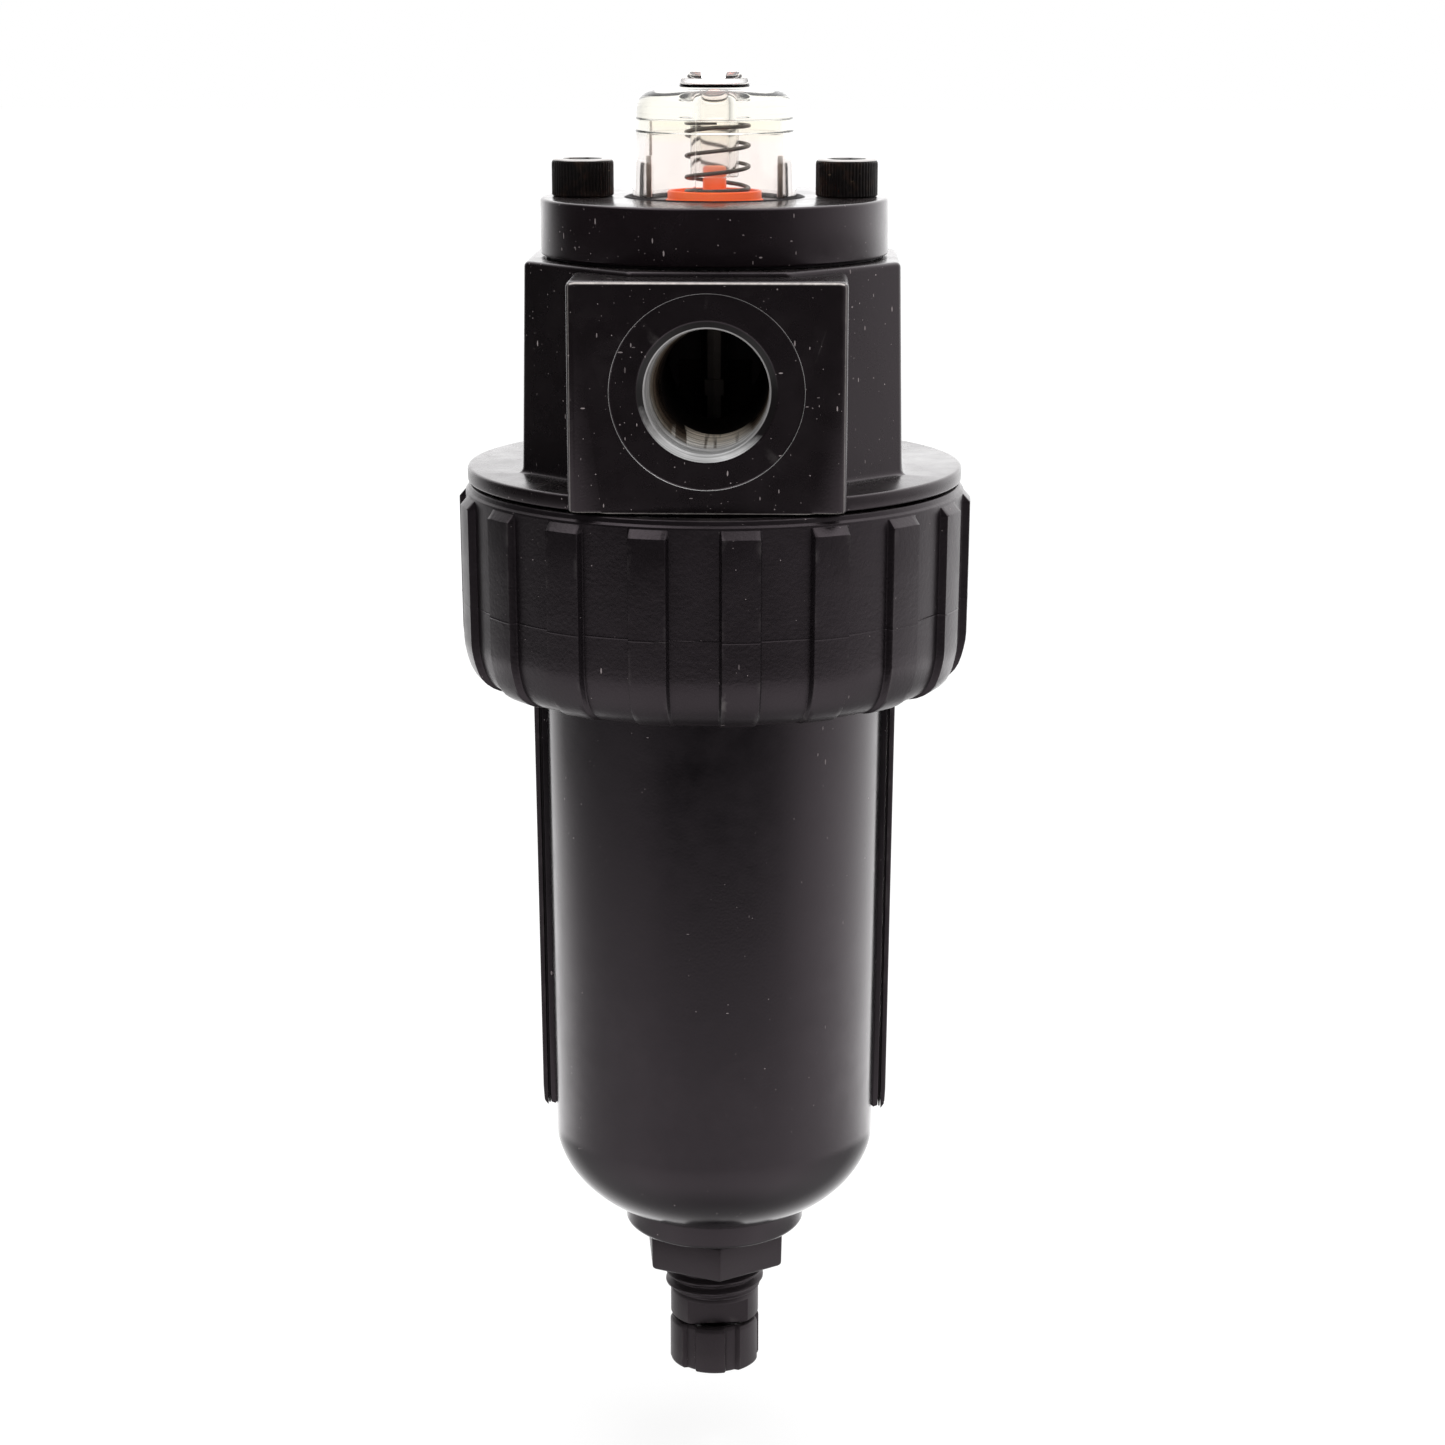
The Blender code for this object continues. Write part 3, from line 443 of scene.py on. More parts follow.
# ------------------------------------------------------------------ black finishes
def boss_edge_highlights_and_wear(net):
    """Painted highlight lines along the edges of the two port bosses, broken up like worn paint:
    top rim strongest, sides and bottom fainter.
    """
    x, y, z = net.split(net.spot)
    x, y = net.math("ABSOLUTE", x), net.math("ABSOLUTE", y)
    # distances in from the side, face, top and bottom of the boss
    side = net.minus(PORT_HALF * MM, x)
    face = net.minus(PORT_Y * MM, y)
    top = net.minus(PORT_TOP * MM, z)
    bottom = net.minus(z, FLANGE_Z0 * MM)
    chips = net.plus(net.times(net.noise(900.0), 1.1), 0.30)

    def line(first, second, half, reach, strength):
        off = net.math("ABSOLUTE", net.minus(first, second))
        on = net.remap(off, half * MM, half * 0.35 * MM)
        near = net.below(net.plus(first, second), reach * MM)
        return net.times(net.times(on, near), strength)

    edges = line(face, top, half=0.36, reach=0.95, strength=1.0)
    near_face = net.below(face, 1.2 * MM)
    for other in (net.times(line(side, top, half=0.24, reach=0.95, strength=0.5), near_face),
                  line(side, face, half=0.22, reach=1.2, strength=0.22),
                  line(face, bottom, half=0.20, reach=0.5, strength=0.30)):
        edges = net.most(edges, other)
    return net.times(edges, chips, clamp=True)


def head_dust(net):
    """More grains at the left (-X), in a ring round the port mouth and under the plate."""
    x, y, z = net.split(net.spot)
    left = net.remap(x, 0.004, -0.020, 0.0, 0.10)
    rise = net.minus(z, PORT_Z * MM)
    away = net.math("SQRT", net.plus(net.times(x, x), net.times(rise, rise)))
    off = net.math("ABSOLUTE", net.minus(away, 0.0160))
    ring = net.remap(off, 0.0022, 0.0004, 0.0, 0.14)
    top = net.remap(z, 0.1900, 0.1930, 0.0, 0.16)
    return net.plus(net.plus(left, ring), top)


def plate_dust(net):
    """More grains low on the rim of the plate."""
    return net.remap(net.split(net.spot)[2], 0.1975, 0.1945, 0.0, 0.14)


# scale, size, mask scale, mask level, stretch, seed, density
DUST_LAYERS = [
    (1250.0, 0.120, 55.0, 0.52, (1, 1, 1), 1.3, 0.70),
    (1125.0, 0.132, 70.0, 0.53, (1, 1, 0.28), 4.1, 0.50),
    (1000.0, 0.120, 62.0, 0.54, (0.30, 1, 1), 7.7, 0.45),
]


def black_finish(name, base, rough, spec=0.50, grain=2600.0, bump=0.10, dust=0.0, wear=0.0,
                 coarse=0.0, mottled=0.25, where=None, edges=None, film_gain=1.0):
    """Black coating with varied sheen and fine texture; dust, worn edges and painted edge
    highlights if asked for.
    """
    net = Surface(name)
    broad = net.noise(45.0, detail=4.0, rough=0.6)
    middle = net.noise(260.0, detail=4.0, rough=0.6)
    fine = net.noise(grain, detail=2.0, rough=0.5)
    roughness = net.plus(net.swing(broad, 0.22), rough)
    roughness = net.plus(roughness, net.swing(middle, 0.14))
    tone = net.plus(net.times(broad, 0.6), net.times(middle, 0.4))
    colour = net.mix(net.ramp(tone, [(0.32, 0.0), (0.68, 1.0)]),
                     tuple(c * (1 - mottled) for c in base),
                     tuple(c * (1 + mottled) for c in base))
    if dust > 0:
        extra = where(net) if where else None
        share = min(1.0, 0.08 + 1.5 * dust)
        layers = [net.specks(scale, size, mask_scale, mask_at - 0.06 * dust, stretch, seed,
                             density * share, extra)
                  for scale, size, mask_scale, mask_at, stretch, seed, density in DUST_LAYERS]
        grains = net.most(net.most(layers[0], layers[1]), layers[2])
        colour = net.mix(net.times(grains, 0.95), colour, (0.27, 0.235, 0.235))
        # a thin film settled on faces that look up
        up = net.remap(net.normal()[2], 0.55, 0.95)
        film = net.times(up, net.times(middle, 0.10 * dust * film_gain))
        colour = net.mix(film, colour, (0.34, 0.31, 0.29))
        roughness = net.plus(roughness, net.times(grains, 0.35))
    # painted edge highlights, partly worn paint: the edges function lightens the boss edges
    if edges:
        colour = net.mix(edges(net), colour, (0.62, 0.58, 0.55))
    if wear > 0:
        pointed = net.add("NewGeometry").outputs["Pointiness"]
        worn = net.times(net.ramp(pointed, [(0.53, 0.0), (0.60, 1.0)]),
                         net.ramp(middle, [(0.50, 0.0), (0.62, 1.0)]))
        colour = net.mix(net.times(worn, wear), colour, (0.10, 0.095, 0.09))
    height = net.plus(net.times(fine, 1.0), net.times(middle, 0.8 + 2.0 * coarse))
    net.bump(bump, 0.00012, height)
    net.feed(net.shader, Base_Color=colour, Roughness=roughness, Specular_IOR_Level=spec,
             Specular_Tint=(1.0, 0.84, 0.93, 1.0))
    return net.material


# ------------------------------------------------------------------ metals
def machined(name):
    """Bare port thread with painted shade and light: grey at the mouth, painted shade brown and
    dark deeper in, painted light and painted highlight patches along the bottom.
    """
    mouth, fade = 34.4 * MM, 9.0 * MM     # |y| where the tone starts, and its depth
    net = Surface(name)
    lines = net.noise(1.0, detail=2.0, at=net.mapped(Scale=(60, 3500, 60)))
    unevenness = net.noise(420.0, detail=4.0, rough=0.65)
    x, y, z = net.split(net.spot)
    depth = net.remap(net.math("ABSOLUTE", y), mouth, mouth - fade)
    depth = net.plus(depth, net.swing(unevenness, 0.35), clamp=True)
    # painted shade: the walls turn brown and dark deeper into the bore
    side = net.ramp(depth, [
        (0.0, (0.44, 0.43, 0.43)), (0.20, (0.34, 0.325, 0.31)), (0.34, (0.21, 0.175, 0.14)),
        (0.52, (0.10, 0.072, 0.052)), (0.75, (0.035, 0.024, 0.018)), (1.0, (0.012, 0.009, 0.008))])
    # painted light: the bottom of the bore turns pale cream deeper in
    low = net.ramp(depth, [
        (0.0, (0.56, 0.56, 0.56)), (0.16, (0.74, 0.73, 0.72)), (0.34, (0.95, 0.91, 0.85)),
        (0.62, (0.95, 0.86, 0.74)), (1.0, (0.90, 0.78, 0.64))])
    # painted highlight patches along the bottom of the bore
    stretched = net.mapped(Scale=(1, 0.05, 0.15), Location=(0.0083, 0, 0))
    painted_glints = net.ramp(net.noise(560.0, detail=2.0, rough=0.5, at=stretched),
                     [(0.41, 0.0), (0.47, 1.0)])
    down = net.remap(z, (PORT_Z - 6.0) * MM, (PORT_Z - 8.0) * MM)
    keep = net.most(painted_glints, net.minus(1.0, net.remap(depth, 0.12, 0.24)))
    colour = net.mix(net.times(down, keep), side, low)
    streak = net.remap(lines, 0.35, 0.62, 0.62, 1.12)
    metal = net.add("VectorMath", colour, props={"operation": "SCALE"}, Scale=streak).outputs[0]
    # the mouth chamfer carries paint except along the bottom, where the bare metal with its
    # painted light stands in for a bright reflection
    rise = net.minus(z, PORT_Z * MM)
    away = net.add("VectorMath", net.add("CombineXYZ", x, rise).outputs[0],
                   props={"operation": "LENGTH"}).outputs["Value"]
    rim = net.times(net.remap(away, 9.74 * MM, 9.84 * MM), net.below(away, 12.0 * MM))
    level = net.plus(net.plus(rise, net.times(x, 0.22)), net.swing(unevenness, 0.004))
    painted = net.times(rim, net.remap(level, -9.4 * MM, -4.6 * MM))
    net.bump(0.3, 0.00004, lines)
    net.feed(net.shader, Base_Color=net.mix(painted, metal, (0.006, 0.0045, 0.005)),
             Metallic=net.times(net.minus(1.0, painted), 0.35),
             Roughness=net.plus(net.times(lines, 0.22), 0.24), Specular_IOR_Level=0.3)
    return net.material


def oxide_steel(name):
    """Black oxide on steel, with brown bloom and dirt."""
    net = Surface(name)
    bloom = net.noise(220.0, detail=4.0, rough=0.65)
    fine = net.noise(2200.0)
    colour = net.mix(net.ramp(bloom, [(0.50, 0.0), (0.76, 1.0)]),
                     (0.0100, 0.0072, 0.0070), (0.052, 0.027, 0.016))
    grit = net.specks(900.0, size=0.22, mask_scale=200.0, mask_at=0.52, seed=2.2)
    colour = net.mix(net.times(grit, 0.5), colour, (0.33, 0.25, 0.18))
    net.bump(0.25, 0.0001, fine)
    net.feed(net.shader, Base_Color=colour, Metallic=0.55,
             Roughness=net.plus(net.times(fine, 0.35), 0.28))
    return net.material


def bright_steel(name, base, rough, metal=1.0):
    net = Surface(name)
    broad = net.noise(150.0, detail=4.0)
    fine = net.noise(3000.0, detail=2.0)
    colour = net.mix(net.ramp(broad, [(0.3, 0.0), (0.7, 1.0)]),
                     tuple(c * 0.75 for c in base), base)
    net.bump(0.15, 0.00005, fine)
    net.feed(net.shader, Base_Color=colour, Metallic=metal,
             Roughness=net.plus(net.times(broad, 0.25), rough - 0.1))
    return net.material


# ------------------------------------------------------------------ plastics and fibres
def clear_plastic(name, tint_low, tint_high, z_low, z_high, rough=0.03, haze=0.03, ior=1.50):
    """Clear plastic tinted by height, which lets shadow and diffuse rays through."""
    net = Surface(name)
    height = net.remap(net.split(net.spot)[2], z_low * MM, z_high * MM)
    swirl = net.noise(120.0)
    fine = net.noise(900.0)
    colour = net.mix(height, tint_low, tint_high)
    colour = net.mix(net.times(swirl, 0.10), colour, (0.80, 0.78, 0.70))
    net.bump(0.06, 0.0001, net.plus(swirl, net.times(fine, 0.3)))
    net.feed(net.shader, Base_Color=colour, Roughness=net.plus(net.times(fine, haze), rough),
             Transmission_Weight=1.0, IOR=ior)
    rays = net.add("LightPath").outputs
    through = net.most(rays["Is Shadow Ray"], rays["Is Diffuse Ray"])
    open_air = net.add("BsdfTransparent", Color=net.mix(0.15, (1.0, 1.0, 1.0), colour))
    mixed = net.mix_shader(through, net.shader, open_air)
    net.feed(net.tree.nodes["Material Output"], mixed.outputs[0])
    return net.material


def orange_plastic(name):
    """Orange with a paler tip, a painted glow from emission and a few dark grains."""
    net = Surface(name)
    broad = net.noise(240.0)
    fine = net.noise(2600.0, detail=2.0)
    colour = net.mix(net.ramp(broad, [(0.3, 0.0), (0.7, 1.0)]),
                     (0.94, 0.100, 0.004), (1.0, 0.145, 0.008))
    tip = net.remap(net.split(net.spot)[2], 0.2052, 0.2084)
    colour = net.mix(tip, colour, (0.87, 0.37, 0.25))
    grit = net.specks(1400.0, size=0.12, mask_scale=200.0, mask_at=0.55, seed=3.3, density=0.25)
    colour = net.mix(net.times(grit, 0.4), colour, (0.35, 0.05, 0.01))
    net.bump(0.12, 0.0001, fine)
    # the emission is a painted glow: the piston is no lamp
    net.feed(net.shader, Base_Color=colour, Roughness=net.plus(net.times(broad, 0.2), 0.25),
             Subsurface_Weight=0.25, Subsurface_Radius=(1.0, 0.25, 0.05),
             Subsurface_Scale=0.001, Emission_Color=(1.0, 0.13, 0.0, 1),
             Emission_Strength=0.18)
    return net.material


def rib_plastic(name):
    """Smoky plastic, darker towards the foot, with painted light on the flanks facing along X,
    which are coloured pale.
    """
    net = Surface(name)
    z = net.split(net.spot)[2]
    mottle = net.noise(700.0)
    height = net.plus(net.remap(z, 0.2035, 0.2098), net.swing(mottle, 0.8), clamp=True)
    colour = net.mix(height, (0.085, 0.062, 0.050), (0.34, 0.28, 0.235))
    # painted light: faces turned along X are coloured pale
    flank = net.above(net.math("ABSOLUTE", net.normal()[0]), 0.72)
    net.bump(0.2, 0.0001, mottle)
    net.feed(net.shader, Base_Color=net.mix(flank, colour, (0.90, 0.86, 0.82)), Roughness=0.35)
    return net.material


def fibre(name, dark, light, scale, bump=0.6):
    net = Surface(name)
    strands = net.noise(scale, detail=6.0, rough=0.7, distortion=0.6)
    cells = net.add("TexVoronoi", Vector=net.spot, Scale=scale * 0.8).outputs["Distance"]
    net.bump(bump, 0.0004, net.plus(strands, cells))
    net.feed(net.shader, Roughness=0.9,
             Base_Color=net.mix(net.ramp(strands, [(0.3, 0.0), (0.7, 1.0)]), dark, light))
    return net.material


def pale_floor(name):
    """Matt, softly glowing ground."""
    net = Surface(name)
    patches = net.times(net.noise(3.0, detail=4.0), 0.35)
    net.feed(net.shader, Base_Color=net.mix(patches, (0.62, 0.62, 0.62), (0.60, 0.60, 0.60)),
             Roughness=1.0, Specular_IOR_Level=0.0, Emission_Color=(1.0, 1.0, 1.0, 1.0),
             Emission_Strength=0.45)
    return net.material


PAINT = black_finish("paint_head", base=(0.0034, 0.0022, 0.0026), rough=0.27, dust=1.0,
                     wear=0.15, bump=0.08, where=head_dust, edges=boss_edge_highlights_and_wear, film_gain=0.25)
PLATE = black_finish("anodised_plate", base=(0.0048, 0.0028, 0.0036), rough=0.24, dust=0.8,
                     wear=0.15, bump=0.05, where=plate_dust)
BOWL_PAINT = black_finish("paint_bowl", base=(0.0032, 0.0028, 0.0034), rough=0.185, dust=0.12,
                          wear=0.1, bump=0.05, mottled=0.15)
NYLON = black_finish("nylon_collar", base=(0.0036, 0.0026, 0.0034), rough=0.33, dust=0.30,
                     wear=0.5, bump=0.25, grain=1700.0, coarse=0.4)
DRAIN = black_finish("moulded_drain", base=(0.0105, 0.0085, 0.0094), rough=0.48, dust=0.12,
                     wear=0.35, bump=0.16, grain=1900.0, coarse=0.2)
RUBBER = black_finish("rubber", base=(0.0045, 0.0045, 0.0045), rough=0.68, spec=0.35,
                      bump=0.35, grain=1500.0)
DARK_CAST = black_finish("cast_inside", base=(0.010, 0.0075, 0.0065), rough=0.55, spec=0.4,
                         bump=0.5, grain=900.0, coarse=1.0)
SLEEVE = black_finish("anodised_sleeve", base=(0.006, 0.005, 0.005), rough=0.32, bump=0.08)
END_CAP = black_finish("end_caps", base=(0.03, 0.03, 0.033), rough=0.5, spec=0.4, bump=0.15)
BARE = machined("bare_port_thread")
OXIDE = oxide_steel("black_oxide_screw")
WORN = bright_steel("worn_rim", base=(0.46, 0.44, 0.43), rough=0.36, metal=0.8)
SPRING_WIRE = bright_steel("spring_wire", base=(0.11, 0.095, 0.085), rough=0.32, metal=0.9)
ZINC = bright_steel("zinc_plate", base=(0.55, 0.54, 0.50), rough=0.33)
ROD_STEEL = bright_steel("rod_steel", base=(0.34, 0.30, 0.28), rough=0.40)
CLEAR = clear_plastic("clear_dome", (0.997, 0.955, 0.935), (0.995, 0.975, 0.890), 212.0, 215.0)
HAZE = clear_plastic("hazy_guide", (0.990, 0.955, 0.945), (0.990, 0.965, 0.940), 209.0, 217.0,
                     rough=0.10, haze=0.08)
CROWN = clear_plastic("clear_crown", (0.995, 0.985, 0.98), (0.995, 0.985, 0.98), 209.0, 217.0,
                      ior=1.16)
LENS = clear_plastic("clear_lens", (0.80, 0.80, 0.76), (0.80, 0.80, 0.76), 0, 1,
                     rough=0.08, haze=0.08)
ORANGE = orange_plastic("orange_piston")
MEDIA = fibre("glass_fibre", (0.78, 0.76, 0.70), (0.92, 0.91, 0.86), scale=900.0)
FOAM = fibre("drain_foam", (0.10, 0.18, 0.42), (0.20, 0.32, 0.62), scale=700.0, bump=0.9)
RIB = rib_plastic("smoked_rib")
HEAD_MATERIALS = [PAINT, BARE, DARK_CAST]      # slots 0, 1 and 2 of the head


# ------------------------------------------------------------------ head casting
def octagon(inset, z):
    """Head outline, drafted from 30.5 at the flange to 29.85 at the top."""
    draft = (29.85 - 30.5) * (z - FLANGE_Z1) / (HEAD_TOP - FLANGE_Z1)
    half = 30.5 + draft - inset
    tan = math.tan(math.radians(22.5))
    corners = [(1, -tan), (1, tan), (tan, 1), (-tan, 1),
               (-1, tan), (-1, -tan), (-tan, -1), (tan, -1)]
    return fillet([(half * x, half * y, 1.5) for x, y in corners], detail(6, 4))


def boss(inset, z):
    """Outline of the block that carries both ports, the same at every height."""
    x, y = PORT_HALF - inset, PORT_Y - inset
    return fillet([(x, -y, 1.3), (x, y, 1.3), (-x, y, 1.3), (-x, -y, 1.3)], detail(6, 4))


def port_tool(side):
    """Cutter for one port: spotface, chamfered mouth, spiral thread, bore."""
    pitch, thread_start, thread_length = 1.81, 1.5, 10.2
    count = detail(144, 96)
    deep = PORT_Y + 5.5 if side < 0 else PORT_Y - 12.8
    # sideways drift of the bore centre with depth
    drift_x, drift_y = (0.9, 0.4) if side < 0 else (-0.9, -0.4)
    rings, slots = [], []

    def add(depth, radius, slot, drift=0.0):
        rings.append(circle(count, -depth, radius, drift_x * drift, drift_y * drift))
        slots.append(slot)

    # the slot 1 band at the spotface edge is bare metal, partly worn paint and partly a painted
    # highlight line
    # depth, radius, material slot
    for depth, radius, slot in [
            (-2.0, 15.0, 0), (0.02, 15.0, 0), (0.075, 14.945, 1), (0.22, 14.80, 0),
            (0.22, 14.62, 0), (0.22, 11.0, 0), (0.22, 10.84, 0), (0.30, 10.72, 0),
            (1.10, 9.86, 1), (1.22, 9.66, 1), (1.36, 9.58, 1)]:
        add(depth, radius, slot)
    steps = int(thread_length / pitch * detail(9, 7))
    for i in range(steps + 1):
        depth = thread_start + thread_length * i / steps
        t = (depth - thread_start) / thread_length
        height = 0.24 * min(1.0, (depth - thread_start) / 1.4) * min(1.0, (11.9 - depth) / 1.5)
        core = 9.52 - 1.12 * t - 0.15 * t * (1 - t)
        add(depth, lambda angle: core + height * thread_form(
            depth / pitch + angle / TURN, 0.12, 0.76), 1, t)
    add(12.1, 8.32, 2, 1.0)
    add(15.4, 8.25, 2, 1.0)
    add(deep - 1.2, 8.10, 2, 0.3)
    add(deep, 7.6, 2)
    # made with depth along -Z, then turned so that depth runs inwards from the face
    tool = turned(loft(rings, flip=True, materials=slots), -90 * side, "X")
    return shifted(tool, (0, side * PORT_Y, PORT_Z))


def head_casting():
    profile = fillet([
        (0.0, FLANGE_Z1, 0), (FLANGE_R, FLANGE_Z1, 0.55), (FLANGE_R, FLANGE_Z0, 0.35),
        (36.4, FLANGE_Z0, 0.3), (36.4, 154.8, 0.2), (37.2, 154.0, 0.2),
        (37.2, SKIRT_Z0 + 0.8, 0.2), (36.4, SKIRT_Z0, 0), (31.6, SKIRT_Z0, 0.2),
        (31.6, 139.4, 0.2), (27.5, 139.4, 0.2), (27.5, 157.0, 1.0), (11.5, 157.0, 0.8),
        (11.5, 148.0, 0.3), (0.0, 148.0, 0)], 4)
    head = lathe("head_casting", profile, detail(160, 96), HEAD_MATERIALS, smooth=40)
    # the octagon flares into the flange and is rounded at the top
    stations = [(FLANGE_Z1 - 0.9, -0.9)]
    for k in range(5):
        w = math.radians(90.0 * k / 4)
        stations.append((FLANGE_Z1 - 0.02 + 1.0 * (1 - math.cos(w)), -0.9 * (1 - math.sin(w))))
    join(head, loft_outline(octagon, stations + edge_round(HEAD_TOP, 0.8, 1, 4)))
    stations = edge_round(FLANGE_Z0 + 0.04, 0.45, -1, 3)[::-1] + edge_round(PORT_TOP, 1.0, 1, 5)
    join(head, loft_outline(boss, stations))
    for side in (-1, 1):
        # the flange is cut off flush with the boss faces
        cut(head, box((-30, 30), (side * PORT_Y, side * 46.0), FLANGE_Z0 - 2, PORT_TOP + 2))
    for side in (-1, 1):
        cut(head, port_tool(side), HEAD_MATERIALS)
    holes = [rod(8.2, 147.0, PORT_Z, 64), rod(5.8, 156.0, PORT_Z + 2.0, 40, 0.0, 19.4),
             rod(2.5, PORT_Z + 4.0, 189.6, 24), rod(8.4, 190.7, HEAD_TOP + 1.0, 64)]
    for side in (-1, 1):
        holes.append(rod(SCREW_HOLE_R, 180.6, HEAD_TOP + 1.0, 32, side * SCREW_X))
    for hole in holes:
        for face in hole.faces:
            face.material_index = 2
        cut(head, hole, HEAD_MATERIALS)
    return tidy(head, 38)


place(head_casting(), "head", "black_paint", "filter_head")


# ------------------------------------------------------------------ cover plate and screws
def cover():
    profile = fillet([
        (16.0, PLATE_Z0, 0), (PLATE_R, PLATE_Z0, 0.35), (PLATE_R, PLATE_Z1, 0.55),
        (14.6, PLATE_Z1, 0.2), (14.6, PLATE_Z1 - 1.1, 0), (13.6, PLATE_Z1 - 1.1, 0),
        (13.6, 199.5, 0), (16.0, 199.5, 0)], 5)
    disc = lathe("cover_disc", profile, detail(224, 128), [PLATE])
    for side in (-1, 1):
        cut(disc, rod(SCREW_HOLE_R, PLATE_Z0 - 1, PLATE_Z1 + 1, 40, side * SCREW_X))
    return tidy(disc, 35)


def socket_screw(name, side):
    """Knurled cap screw with a hexagon socket, one continuous surface."""
    flutes = 54
    count = flutes * detail(6, 4)
    seat, top = PLATE_Z1 + 0.05, SCREW_TOP

    def knurled(radius, depth):
        if not depth:
            return radius
        return lambda angle: radius - depth * (0.5 + 0.5 * math.cos(flutes * angle)) ** 1.6

    def hexagon(radius):
        def at(angle):
            sector = (angle + math.pi / 6 + 0.20) % (math.pi / 3) - math.pi / 6
            return min(radius * math.cos(math.pi / 6) / math.cos(sector), radius * 0.985)
        return at

    # z, radius, knurl depth, material slot
    stations = [(181.2, 2.3, 0, 0), (181.9, 2.95, 0, 0), (seat - 0.3, 2.95, 0, 0),
                (seat, 3.2, 0, 0), (seat, 4.75, 0, 0),
                (seat + 0.25, 5.0, 0.10, 0), (seat + 0.45, 5.0, 0.17, 0)]
    stations += [(seat + 0.45 + (top - seat - 1.35) * (i + 1) / 5, 5.0, 0.17, 0)
                 for i in range(5)]
    stations += [(top - 0.62, 4.98, 0.14, 0), (top - 0.42, 4.90, 0.05, 0),
                 (top - 0.24, 4.80, 0, 0), (top - 0.08, 4.62, 0, 1),
                 (top, 4.35, 0, 1), (top, 3.15, 0, 1)]
    rings = [circle(count, z, knurled(r, knurl)) for z, r, knurl, slot in stations]
    rings += [circle(count, top - 0.22, hexagon(2.9)), circle(count, top - 3.0, hexagon(2.88)),
              circle(count, top - 3.9, 0.6)]
    slots = [station[3] for station in stations] + [0, 0, 0]
    screw = shifted(loft(rings, materials=slots), (side * SCREW_X, 0, 0))
    return build(name, screw, [OXIDE, WORN], 32)


place(cover(), "head", "black_anodised", "cover_plate")
for side, label in ((-1, "left"), (1, "right")):
    place(socket_screw("hex_screw_" + label, side), "head", "black_oxide_steel",
          "cap_screw_" + label)


# ------------------------------------------------------------------ service indicator
def dome_rib(name, side, top, half=0.30, foot=PLATE_Z1 + 0.1, inner=9.95, outer=10.80):
    """Upright rib inside the dome wall, centred 2 mm in front of the X axis."""
    def outline(inset, z):
        return rectangle((side * (inner + inset * 0.5), side * outer),
                         (-2.0 - half + inset, -2.0 + half - inset), 0.1)
    stations = [(foot, 0.0), (top - 0.5, 0.0), (top - 0.15, 0.07), (top, 0.2)]
    return build(name, loft_outline(outline, stations), [RIB], 40)


def crown_slot(inset, z):
    x = 2.0 - inset
    return fillet([(x, -8, 0), (x, 8, 0), (-x, 8, 0), (-x, -8, 0)])


def clear_dome():
    outer = [(11.6, 196.9, 0), (15.7, 196.9, 0.2), (15.7, 199.2, 0.3), (13.25, 199.2, 0.2),
             (13.25, 203.8, 0), (12.72, 217.0, 0)]
    for degrees in (80, 65, 50, 35, 20, 5):
        w = math.radians(degrees)
        outer.append((9.3 + 3.4 * math.sin(w), 217.3 + 3.1 * math.cos(w), 0))
    outer += [(5.75, 220.42, 0.35), (5.62, 221.2, 0), (5.36, 222.0, 0.18),
              (3.9, CROWN_TOP, 0.5), (0.0, CROWN_TOP, 0)]
    inner = [(0.0, 219.2, 0), (2.35, 219.2, 0.3), (2.35, 206.5, 0.25), (3.9, 206.5, 0.3),
             (3.9, 215.7, 0.4), (10.6, 215.7, 0.3), (10.6, 213.75, 0.15), (11.0, 213.55, 0.15),
             (11.45, 208.0, 0)]
    dome = lathe("dome_clear", fillet(outer + inner, 4), detail(192, 112), [CLEAR], smooth=50)
    cut(dome, loft_outline(crown_slot, [
        (CROWN_TOP - 1.1, 0.3), (CROWN_TOP - 0.95, 0.08), (CROWN_TOP - 0.4, 0.0),
        (CROWN_TOP + 1.0, -0.35)]))
    # the mould line down the front
    seam = []
    for z, radius in ((204.6, 13.22), (217.0, 12.72)):
        back, front = -(radius - 0.10), -(radius + 0.045)
        seam.append([(-0.13, back, z), (0.13, back, z), (0.05, front, z), (-0.05, front, z)])
    join(dome, turned(loft(seam), -11.5))
    tidy(dome, 50)
    dome.data.materials.append(HAZE)
    dome.data.materials.append(CROWN)
    for face in dome.data.polygons:
        x, y, z = face.center / MM
        radius = math.hypot(x, y)
        if radius < 4.3 and z < 215.6:
            face.material_index = 1
        elif (radius < 6.0 and z > 220.35) or (5.6 < radius < 9.5 and y > 0 and z > 219.0):
            face.material_index = 2
    return dome


